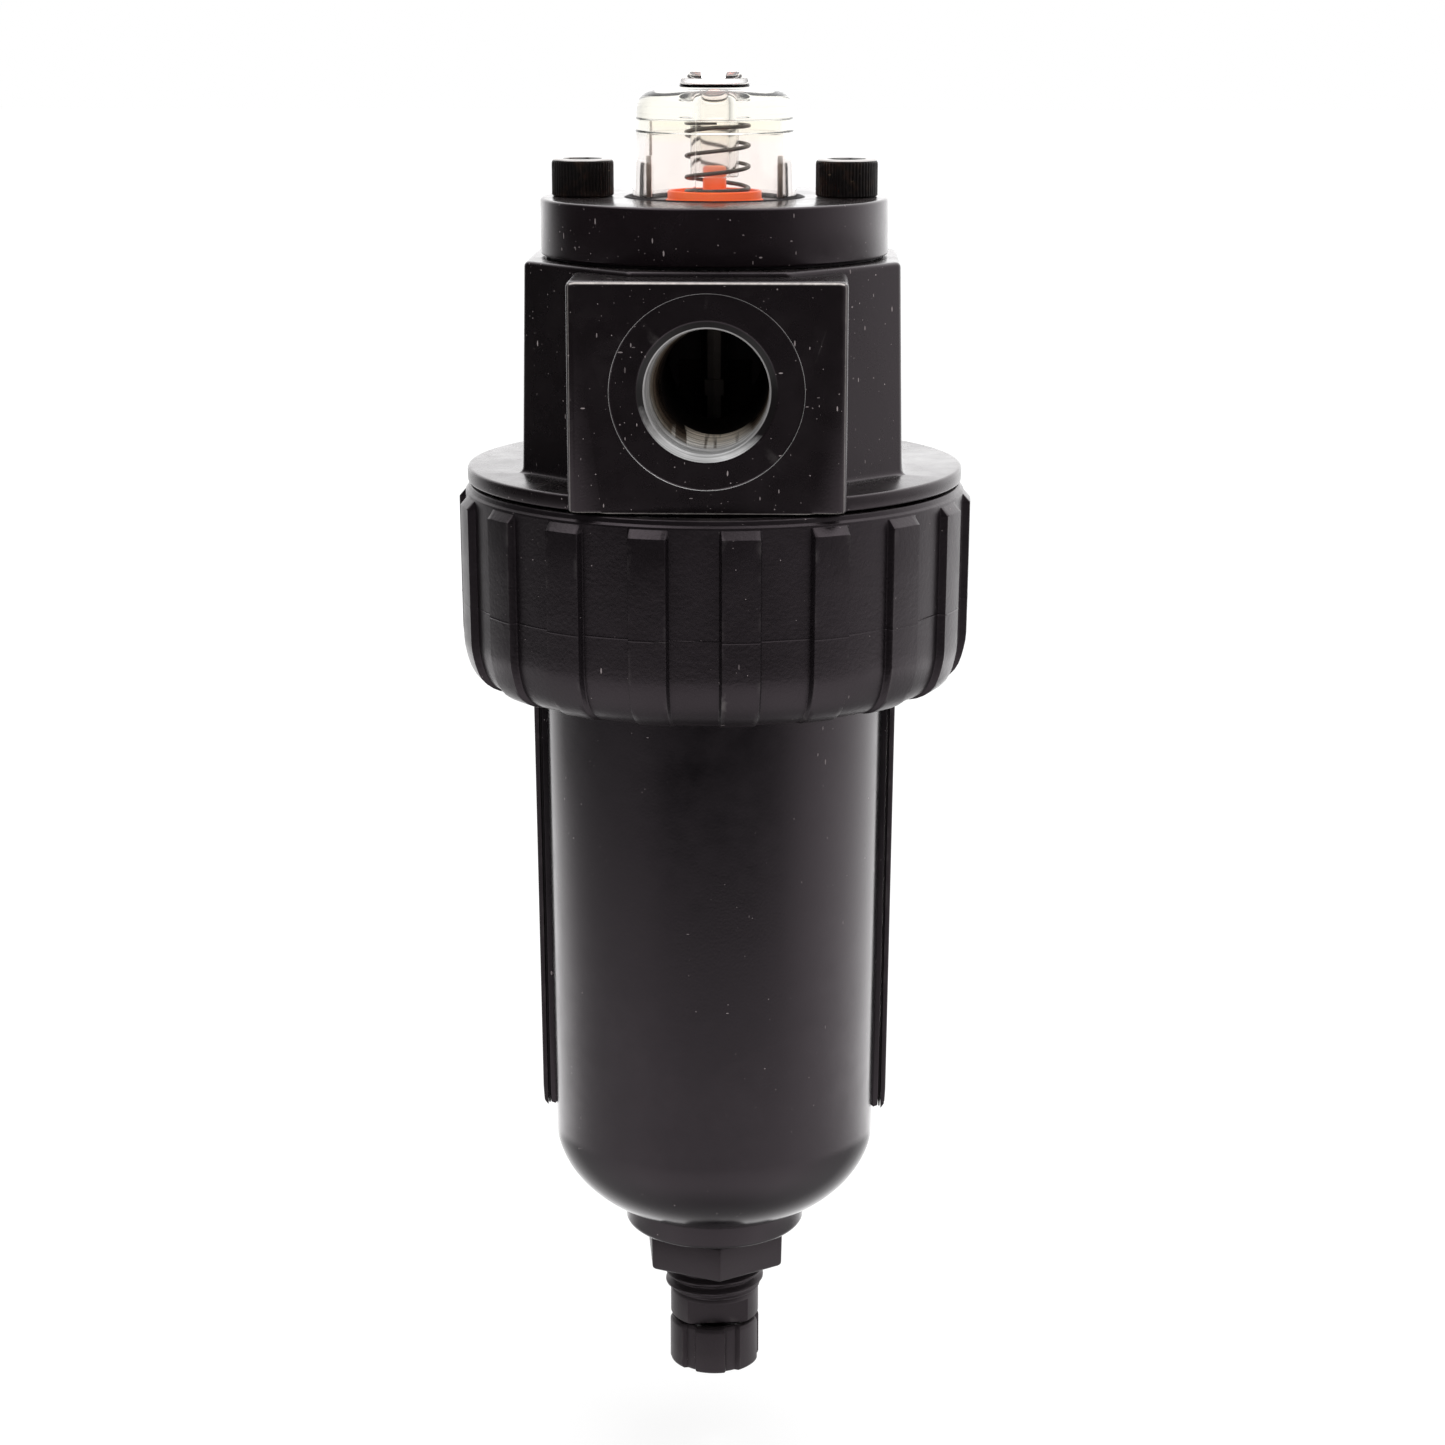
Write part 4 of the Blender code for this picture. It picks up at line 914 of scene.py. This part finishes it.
place(dome_rib("dome_rib_left", -1, 210.0), "head")
place(dome_rib("dome_rib_right", 1, 210.0), "head")
place(dome_rib("dome_rib_tail", -1, 215.5, half=0.22, foot=210.05, inner=9.85, outer=10.30),
      "head")
place(clear_dome(), "head", "clear_polycarbonate", "indicator_dome")
place(torus("dome_ring", 13.95, 0.56, PLATE_Z1 - 0.38, detail(160, 96), 14, RUBBER),
      "head", "black_rubber", "dome_seal")
place(lathe("slide_sleeve", fillet([
    (8.25, 194.0, 0.2), (13.4, 194.0, 0.2), (13.4, 196.6, 0.3), (11.2, 196.6, 0.3),
    (11.2, 202.8, 0.5), (8.25, 202.8, 0.4)], 4), detail(128, 80), [SLEEVE]),
    "head", "black_anodised", "indicator_sleeve")
place(lathe("signal_piston", fillet([
    (0.0, 196.2, 0), (7.2, 196.2, 0), (7.9, 196.9, 0.2), (7.9, 198.5, 0.15), (6.6, 198.5, 0.15),
    (6.6, 200.2, 0.15), (7.9, 200.2, 0.15), (7.9, 202.9, 0.15), (7.6, 203.15, 0.1),
    (7.6, 204.4, 0.25), (7.0, 204.4, 0.15), (7.0, 203.4, 0.25), (1.9, 203.4, 0.3),
    (1.9, 208.6, 0.5), (0.0, 208.6, 0)], 4), detail(144, 80), [ORANGE]),
    "indicator", "orange_plastic", "indicator_piston")
place(torus("piston_ring", 7.36, 0.66, 199.35, detail(96, 64), 12, RUBBER),
      "indicator", "black_rubber", "piston_seal")


def return_spring():
    """Round-wire compression spring with one closed turn at each end."""
    radius, wire = 5.02, 0.34              # coil and wire radius
    closed, active = 0.8, 2.75             # rise of a closed turn, number of open turns
    per_turn, sides = detail(64, 40), detail(14, 10)
    z0, z1 = SPRING_LOW[2], SPRING_HIGH[2]
    total = 2.0 + active
    open_rise = (z1 - z0 - 2 * wire) - 2 * closed
    rings = []
    steps = int(total * per_turn)
    for i in range(steps + 1):
        t = total * i / steps
        angle = TURN * t
        slope = closed
        if t < 1.0:
            rise = closed * t
        elif t < 1.0 + active:
            rise = closed + open_rise * (t - 1.0) / active
            slope = open_rise / active
        else:
            rise = closed + open_rise + closed * (t - 1.0 - active)
        out = Vector((math.cos(angle), math.sin(angle), 0))
        centre = Vector((radius * math.cos(angle), radius * math.sin(angle), z0 + wire + rise))
        along = Vector((-radius * math.sin(angle) * TURN, radius * math.cos(angle) * TURN,
                        slope)).normalized()
        across = along.cross(out)
        rings.append([centre + wire * (math.cos(TURN * k / sides) * out
                                       + math.sin(TURN * k / sides) * across)
                      for k in range(sides)])
    spring = build("return_spring", loft(rings), [SPRING_WIRE], 60)
    for vertex in spring.data.vertices:
        vertex.co.x += 0.0005       # the loose coil sits a little to one side
    return spring


spring = return_spring()
place(spring, "head", "spring_steel", "indicator_spring")
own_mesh(spring)


# ------------------------------------------------------------------ clamp collar
PADS, PAD_PITCH, PAD_WIDTH = 18, 20.0, 9.3       # count, then degrees
# degrees in from the edge of a pad, pad weight
PAD_EDGE = [(0.0, 0.0), (0.07, 0.05), (0.16, 0.20), (0.46, 0.80), (0.55, 0.95), (0.62, 1.0)]

# z, radius between the pads, radius of the pads, from the top down
COLLAR_OUTSIDE = [
    (157.25, 40.15, 40.15), (157.17, 40.38, 40.38), (156.98, 40.5, 40.5), (156.50, 40.5, 40.5),
    (156.38, 40.56, 40.56), (156.16, 40.9, 40.9), (156.02, 41.0, 41.0), (155.80, 41.0, 41.0),
    (155.74, 41.0, 41.02), (155.66, 41.0, 41.10), (154.50, 41.0, 42.10), (154.42, 41.0, 42.18),
    (154.30, 41.0, 42.2), (146.0, 40.95, 42.15), (138.90, 40.88, 42.08),
    (138.66, 40.878, 42.078), (138.58, 40.88, 42.08), (138.50, 40.95, 42.14),
    (138.42, 40.95, 42.14), (138.34, 40.875, 42.075), (138.26, 40.874, 42.074),
    (138.0, 40.872, 42.072), (134.5, 40.83, 42.03), (132.4, 40.80, 42.0), (131.2, 40.72, 41.90),
    (129.8, 40.48, 41.62), (128.5, 40.17, 41.28), (127.3, 39.75, 40.84), (126.3, 39.20, 40.26),
    (125.4, 38.45, 39.45), (124.65, 37.40, 38.40), (124.12, 36.30, 37.25), (123.82, 35.20, 36.10),
    (123.7, 34.1, 34.95)]
# z, radius, from the bottom up
COLLAR_INSIDE = [(123.7, 31.6), (124.0, 31.3), (129.1, 31.3), (129.1, 37.8), (156.9, 37.8),
                 (157.25, 38.1)]


def collar_angles():
    """(degrees, pad weight) round the collar, closer together at the pad edges."""
    out = []
    edge = PAD_EDGE[-1][0]
    steps = detail(7, 4)
    gap_start = PAD_WIDTH + 0.2
    for k in range(PADS):
        base = PAD_PITCH * k + 2.8
        points = [(-0.20, 0.0)] + PAD_EDGE
        points += [(edge + (PAD_WIDTH - 2 * edge) * i / steps, 1.0) for i in range(1, steps)]
        points += [(PAD_WIDTH - inset, weight) for inset, weight in reversed(PAD_EDGE)]
        points.append((gap_start, 0.0))
        points += [(gap_start + (PAD_PITCH - 0.2 - gap_start) * i / steps, 0.0)
                   for i in range(1, steps)]
        out += [(base + degrees, weight) for degrees, weight in points]
    return out


def collar_shell():
    """Ribbed collar with an uneven line of flash round it near z = 138.5."""
    draw = random.Random(7)
    angles = collar_angles()
    last = len(angles)
    flash = [0.0]
    for _ in range(1, last):
        flash.append(max(-1.0, min(1.0, flash[-1] + draw.uniform(-0.35, 0.35))))
    rings = []
    for z, gap_r, pad_r in COLLAR_OUTSIDE + [(z, r, r) for z, r in COLLAR_INSIDE]:
        ring = []
        for i, (degrees, weight) in enumerate(angles):
            angle = math.radians(degrees)
            radius = gap_r + (pad_r - gap_r) * weight
            height = z
            if 138.2 < z < 138.7 and radius > 39:
                wobble = flash[i] * min(1.0, i / 20.0) * min(1.0, (last - i) / 20.0)
                height = z + 0.10 * wobble
                if 138.4 < z < 138.55:
                    radius += 0.04 * wobble + (0.08 if wobble > 0.72 else 0.0)
            ring.append((radius * math.sin(angle), -radius * math.cos(angle), height))
        rings.append(ring)
    return build("ribbed_collar", loft(rings, closed=True, flip=True), [NYLON], 42)


place(collar_shell(), "collar", "black_nylon", "collar_ring")


# ------------------------------------------------------------------ bowl and sight gauges
WINDOW_HALF, WINDOW_Z0, WINDOW_Z1 = 1.2, 58.0, 118.0


def gauge_bar(side, half, z0, z1, inner, outer, slope=0.0, rounding=0.2):
    """Bar along the drafted wall; inner and outer are offsets from the wall radius.

    The outer corners are rounded and slope lifts the outer edge of the lower end.
    """
    seg = detail(4, 3)
    section = [(inner, -half), (inner, half)]
    arc = [math.radians(90.0 * k / seg) for k in range(seg + 1)]
    section += [(outer - rounding + rounding * math.sin(w),
                 half - rounding + rounding * math.cos(w)) for w in arc]
    section += [(outer - rounding + rounding * math.cos(w),
                 -(half - rounding + rounding * math.sin(w))) for w in arc]
    rings = []
    for t in (0.0, 0.03, 0.2, 0.4, 0.6, 0.8, 0.97, 1.0):
        ring = []
        squeeze = 0.10 if t in (0.0, 1.0) else 0.0
        for offset, y in section:
            share = (offset - inner) / (outer - inner)
            outside = share > 0.8
            low = z0 + slope * share + (0.18 if t == 0.0 and outside else 0.0)
            high = z1 - (0.18 if t == 1.0 and outside else 0.0)
            z = low + (high - low) * t
            radius = bowl_r(z) + offset - (squeeze if outside else 0.0)
            ring.append((side * radius, y * (1 - squeeze / half), z))
        rings.append(ring if side > 0 else list(reversed(ring)))
    return loft(rings)


def cut_window(part, side, inner, outer):
    cut(part, box((side * inner, side * outer), (-WINDOW_HALF, WINDOW_HALF),
                  WINDOW_Z0, WINDOW_Z1))


def bowl_shell():
    shoulder = 46.4                       # height where the wall meets the rounded bottom
    wall_r = bowl_r(shoulder)
    foot_r, foot_z, lip = 15.45, 26.7, 1.15
    outer_steps = detail(30, 18)

    def bottom(radius, depth, z, r):
        """Height of the superelliptic bottom at radius r."""
        return z - depth * max(0.0, 1.0 - (r / radius) ** 2.1) ** (1.0 / 2.1)

    profile = [(7.4, foot_z)]
    for degrees in (0, 18, 36, 54, 72, 90):
        w = math.radians(degrees)
        profile.append((foot_r - lip + lip * math.sin(w), foot_z + lip * (1 - math.cos(w))))
    corner_z = bottom(wall_r, 18.6, shoulder, 15.9)
    profile += [(foot_r, corner_z + 0.05), (15.55, corner_z + 0.02)]
    for i in range(outer_steps + 1):
        r = 15.9 + (wall_r - 15.9) * math.sin(math.radians(90.0 * i / outer_steps))
        profile.append((r, bottom(wall_r, 18.6, shoulder, min(r, wall_r))))
    profile += [(bowl_r(z), float(z)) for z in (52, 62, 76, 92, 108, 122, 129.3)]
    inner_r = wall_r - 2.2
    profile += fillet([
        (bowl_r(129.5), 129.5, 0.0), (35.4, 129.5, 0.3), (35.4, 132.7, 0.3), (30.6, 132.7, 0.3),
        (30.6, BOWL_TOP, 0.4), (26.3, BOWL_TOP, 0.3), (inner_r, 48.4, 0)], 3)
    for i in range(1, 13):
        r = 15.0 + (inner_r - 15.0) * math.cos(math.radians(90.0 * i / 12))
        profile.append((r, bottom(inner_r, 13.4, 48.4, r)))
    profile += [(10.6, 35.2), (7.4, 35.2)]
    clean = []
    for r, z in profile:
        if not clean or math.hypot(r - clean[-1][0], z - clean[-1][1]) > 0.012:
            clean.append((r, z))
    bowl = lathe("bowl_shell", clean, detail(224, 128), [BOWL_PAINT], smooth=38)
    for side in (-1, 1):
        join(bowl, gauge_bar(side, 2.5, 47.8, 128.2, inner=-1.2, outer=0.75,
                             slope=0.5, rounding=0.25))
        cut_window(bowl, side, 22.0, 32.0)
    return tidy(bowl, 38)


def gauge_frame(side, name):
    bar = gauge_bar(side, 2.5, 48.0, 127.2, inner=1.17, outer=1.95, slope=1.1, rounding=0.32)
    part = build(name, bar, [DRAIN], 38)
    cut_window(part, side, 26.0, 33.0)
    return tidy(part, 38)


def gauge_window(side, name):
    bar = gauge_bar(side, 0.98, WINDOW_Z0 + 0.25, WINDOW_Z1 - 0.25, inner=-1.9, outer=1.65,
                    rounding=0.25)
    return build(name, bar, [LENS], 45)


place(bowl_shell(), "bowl", "black_paint", "bowl")
for side, label in ((-1, "left"), (1, "right")):
    place(gauge_frame(side, "gauge_frame_" + label),
          "bowl", "black_drain_plastic", "sight_bezel_" + label)
    place(gauge_window(side, "gauge_window_" + label),
          "bowl", "clear_polycarbonate", "sight_lens_" + label)
    gasket = build("gauge_gasket_" + label, gauge_bar(
        side, 2.15, 48.3, 127.2, inner=0.79, outer=1.13, rounding=0.10), [RUBBER], 38)
    place(gasket, "bowl", "black_rubber", "sight_gasket_" + label)
    cut_window(gasket, side, 26.0, 33.0)
    tidy(gasket, 38)
place(torus("bowl_o_ring", 32.2, 1.2, 134.3, detail(128, 80), 16, RUBBER),
      "bowl", "black_rubber", "bowl_seal")


# ------------------------------------------------------------------ drain
def hex_outline(radius, z):
    angles = [math.radians(5.7 + 60 * k) for k in range(6)]
    return fillet([(radius * math.sin(w), -radius * math.cos(w), 0.55) for w in angles],
                  detail(6, 4))


def hex_bushing():
    """Hexagon with a round spigot above it and a through bore."""
    count = detail(72, 48)
    # z, corner radius
    stations = [(HEX_Z0, 12.20), (HEX_Z0 + 0.10, 12.53), (HEX_Z0 + 0.35, 12.83),
                (HEX_Z0 + 0.7, 12.96), (HEX_Z1 - 0.6, 13.09), (HEX_Z1 - 0.25, 13.0),
                (HEX_Z1 - 0.06, 12.8), (HEX_Z1, 12.5)]
    part = build("bushing_hex", loft_outline(hex_outline, stations), [DRAIN])
    join(part, rod(7.0, HEX_Z1 - 1.0, 39.0, count))
    cut(part, lathe_mesh([(0.0, HEX_Z0 - 1), (6.0, HEX_Z0 - 1), (6.0, HEX_Z0 + 0.001),
                          (5.3, HEX_Z0 + 0.7), (5.3, 40.0), (0.0, 40.0)], count))
    return tidy(part, 35)


def drain_neck():
    """Turned neck with a spiral thread above two flats."""
    count, pitch = detail(120, 80), 1.8
    thread_z0, thread_z1 = 14.0, 19.45

    def rings(stations):
        return [circle(count, z, r) for r, z in stations]

    rows = rings([(2.8, NECK_Z0), (7.25, NECK_Z0), (7.55, NECK_Z0 + 0.09),
                  (7.70, NECK_Z0 + 0.34), (7.70, 13.3), (7.68, 13.9)])
    steps = detail(36, 26)
    for i in range(steps + 1):
        z = thread_z0 + (thread_z1 - thread_z0) * i / steps
        height = 0.93 * (min(1.0, (z - thread_z0) / 0.7)
                         * min(1.0, max(0.0, (thread_z1 - z) / 0.5)))
        rows.append(circle(count, z, lambda angle: 7.62 + height * thread_form(
            (z - 14.5) / pitch - angle / TURN - 0.25, 0.20, 0.62)))
    rows += rings([(7.55, 19.54), (4.95, 19.54), (4.95, 33.8), (4.75, 34.0), (1.5, 34.0),
                   (1.5, 31.0), (2.8, 31.0)])
    neck = build("drain_neck", loft(rows, closed=True), [DRAIN], 40)
    for side in (-1, 1):
        cut(neck, turned(box((-10, 10), (side * 5.6, side * 12), NECK_Z0 - 1, 13.2), 7.5))
    return tidy(neck, 38)


def twist_knob():
    """Six-lobed knob, soft shoulders, shallow recess in the top and a plain bore."""
    count = 6 * detail(34, 22)

    def groove(degrees):
        """Depth of the hollows between the lobes."""
        off = abs((degrees + 30.0) % 60.0 - 30.0)
        t = min(1.0, max(0.0, (off - 19.4) / 3.6))
        return 0.75 * (t * t * (3 - 2 * t))

    def ring(radius, z, share):
        out = []
        for k in range(count):
            degrees = 360.0 * k / count
            angle = math.radians(-4.0 + degrees)
            r = radius - groove(degrees) * share
            out.append((r * math.sin(angle), -r * math.cos(angle), z))
        return out

    # radius of the lobes, z, share of the groove depth
    stations = [
        (6.95, 0.0, 0.6), (7.35, 0.10, 0.8), (7.66, 0.34, 1), (7.8, 0.75, 1), (7.8, 4.0, 1),
        (7.8, 7.6, 1), (7.75, 8.0, 1), (7.58, 8.35, 1), (7.2, 8.5, 1),
        (6.25, 8.5, 0), (6.12, 8.40, 0), (5.95, 7.3, 0), (2.7, 7.3, 0), (2.5, 7.1, 0),
        (2.5, 0.3, 0), (2.8, 0.0, 0)]
    return build("twist_knob", loft([ring(*s) for s in stations], closed=True), [DRAIN], 42)


place(hex_bushing(), "bowl", "black_drain_plastic", "drain_bushing")
place(drain_neck(), "bowl", "black_drain_plastic", "drain_body")
place(twist_knob(), "drain_knob", "black_drain_plastic", "drain_knob")
place(lathe("valve_stem", fillet([
    (0.9, 1.2, 0.1), (2.25, 1.2, 0.25), (2.25, 23.0, 0), (1.65, 23.0, 0), (1.65, 24.3, 0),
    (2.25, 24.3, 0), (2.25, 29.6, 0.2), (1.1, 30.9, 0), (0.0, 30.9, 0), (0.0, 20.0, 0),
    (0.9, 20.0, 0)], 3), detail(48, 32), [DRAIN]),
    "drain_stem", "black_drain_plastic", "drain_stem")

# ------------------------------------------------------------------ pieces kept as packed
for name, material in (
        ("cover_gasket", RUBBER), ("element_top_seal", RUBBER), ("element_top_cap", END_CAP),
        ("element_core", ZINC), ("element_media", MEDIA), ("element_foam_sleeve", FOAM),
        ("element_bottom_cap", END_CAP), ("tie_rod", ROD_STEEL), ("tie_rod_washer", ZINC),
        ("tie_rod_nut", ZINC), ("drain_gasket", RUBBER), ("drain_lock_nut", ZINC),
        ("drain_stem_seal", RUBBER)):
    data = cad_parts[name].data
    data.materials.clear()
    data.materials.append(material)

# ------------------------------------------------------------------ floor, in metres
FLOOR_HALF = 6.0
FLOOR_Z = -0.0165      # low enough for the dropped bowl and open drain to stay clear of it
floor_mesh = bmesh.new()
floor_mesh.faces.new([floor_mesh.verts.new((x * FLOOR_HALF, y * FLOOR_HALF, FLOOR_Z))
                      for x, y in ((-1, -1), (1, -1), (1, 1), (-1, 1))])
floor = build("floor", floor_mesh, [pale_floor("pale_floor")], smooth=0, scale=1.0)
floor.visible_glossy = False
floor.visible_transmission = False

# ------------------------------------------------------------------ surroundings
CAM_AZIMUTH = math.radians(1.85)
TOP_LIGHT = 2.6        # brightest value in the rings below

# rings of (azimuth in degrees, brightness); azimuth 0 is towards the camera
LEVEL_RING = [
    (-180, 2.2), (-160, 1.9), (-144, 1.1), (-132, 0.35), (-122, 0.12), (-110, 0.04), (-60, 0.06),
    (0, 0.10), (22, 0.09), (38, 0.17), (47, 0.24), (55, 0.43), (64, 0.56), (83, 0.86),
    (106, 1.2), (120, 1.5), (139, 1.9), (180, 2.2)]
# elevations in degrees over which the view fades into a ring, and the ring or an even value
BANDS = [
    (-4.6, -6.8, [
        (-180, 1.6), (-150, 1.0), (-130, 0.3), (-110, 0.03), (-60, 0.04), (0, 0.05), (38, 0.10),
        (60, 0.14), (88, 0.18), (110, 0.50), (139, 1.4), (180, 1.8)]),
    (-9.8, -14.5, [
        (-180, 2.0), (-147, 1.3), (-122, 0.30), (-105, 0.19), (-91, 0.16), (-78, 0.13),
        (-66, 0.18), (-55, 0.22), (-45, 0.13), (-34, 0.08), (-25, 0.06), (-15, 0.03), (0, 0.03),
        (32, 0.07), (43, 0.19), (53, 0.46), (64, 0.9), (75, 1.18), (88, 1.36), (102, 1.45),
        (118, 1.6), (140, 1.85), (180, 2.3)]),
    (-14.5, -17.2, [
        (-180, 2.3), (-147, 2.0), (-125, 1.3), (-110, 0.8), (-97, 0.62), (-65, 0.52),
        (-46, 0.42), (-29, 0.15), (-13, 0.07), (12, 0.07), (28, 0.15), (45, 0.45), (54, 0.8),
        (64, 1.05), (84, 1.4), (108, 1.7), (124, 1.9), (180, 2.4)]),
    (-17.7, -20.6, [
        (-180, 2.3), (-148, 2.1), (-125, 1.8), (-109, 1.3), (-96, 1.05), (-84, 0.98),
        (-54, 1.05), (-36, 1.0), (0, 0.95), (31, 1.0), (49, 1.06), (68, 1.36), (89, 1.73),
        (101, 1.9), (116, 2.2), (133, 2.45), (180, 2.5)]),
    (-21.5, -25.0, [
        (-180, 1.6), (-150, 1.0), (-120, 0.5), (-60, 1.1), (0, 1.0), (60, 1.25), (120, 0.5),
        (150, 1.0), (180, 1.6)]),
    (-40.0, -80.0, 0.45),
    (34.0, 64.0, [
        (-180, TOP_LIGHT * 0.999), (-70, 2.4), (-45, 1.6), (-28, 0.7), (-12, 0.15), (12, 0.15),
        (28, 0.7), (45, 1.6), (70, 2.4), (180, TOP_LIGHT * 0.999)]),
]
# what transmitted rays see: bright behind, darker towards the camera
SEEN_THROUGH = [(-180, 1.16), (-120, 1.12), (-60, 0.90), (0, 0.72), (60, 0.55), (92, 0.55),
                (115, 0.95), (140, 1.16), (180, 1.16)]


def studio():
    """Banded light for reflections, a ring for clear parts, even white for the rest."""
    world = bpy.data.worlds.new("studio")
    bpy.context.scene.world = world
    world.use_nodes = True
    net = Net(world.node_tree)
    net.tree.nodes.clear()
    output = net.add("OutputWorld")
    direction = net.add("Mapping", Vector=net.add("TexCoord").outputs["Generated"],
                        Rotation=(0, 0, -CAM_AZIMUTH)).outputs[0]
    x, y, z = net.split(direction)
    azimuth = net.math("ARCTAN2", x, net.times(y, -1.0))
    azimuth = net.plus(net.math("DIVIDE", azimuth, TURN), 0.5)
    elevation = net.times(net.math("ARCSINE", z), 180.0 / math.pi)

    def light(stops):
        if isinstance(stops, float):
            return (stops / TOP_LIGHT,) * 3
        return net.ramp(azimuth, [((a + 180.0) / 360.0, v / TOP_LIGHT) for a, v in stops])

    around = light(LEVEL_RING)
    for start, end, stops in BANDS:
        share = net.remap(elevation, start, end, props={"interpolation_type": "SMOOTHSTEP"})
        around = net.mix(share, around, light(stops))
    reflected = net.add("Background", around, TOP_LIGHT)
    seen = net.add("Background", light(SEEN_THROUGH), TOP_LIGHT)
    plain = net.add("Background", (1.0, 1.0, 1.0, 1.0), 1.0)
    rays = net.add("LightPath").outputs
    mixed = net.mix_shader(rays["Is Transmission Ray"], reflected, seen)
    even = net.most(rays["Is Camera Ray"], rays["Is Diffuse Ray"])
    net.feed(output, net.mix_shader(even, mixed, plain).outputs[0])
    world.cycles.sampling_method = "NONE"


def key_light():
    """Soft square light above the filter, kept out of reflections."""
    data = bpy.data.lights.new("key_top", "AREA")
    data.shape = "RECTANGLE"
    data.size = 1.1
    data.size_y = 1.1
    data.energy = 4.0
    light = bpy.data.objects.new("key_top", data)
    place_at, target = Vector((0.15, -0.10, 1.35)), Vector((0, 0, 0.12))
    light.location = place_at
    light.rotation_euler = (target - place_at).to_track_quat("-Z", "Y").to_euler()
    bpy.context.scene.collection.objects.link(light)
    light.visible_glossy = False


def camera():
    """Camera in front, a little to the right (+X), looking slightly down."""
    distance, height, tilt = 0.491, 0.236, math.radians(13.76)
    data = bpy.data.cameras.new("camera")
    eye = bpy.data.objects.new("camera", data)
    bpy.context.scene.collection.objects.link(eye)
    data.sensor_width = 36.0
    data.lens = 74.74
    data.shift_x = 0.0055
    data.clip_start = 0.01
    eye.location = (distance * math.sin(CAM_AZIMUTH), -distance * math.cos(CAM_AZIMUTH), height)
    eye.rotation_euler = (math.pi / 2 - tilt, 0, CAM_AZIMUTH)
    bpy.context.scene.camera = eye


studio()
key_light()
camera()
bpy.context.scene.view_settings.view_transform = "Standard"
bpy.context.scene.view_settings.look = "None"
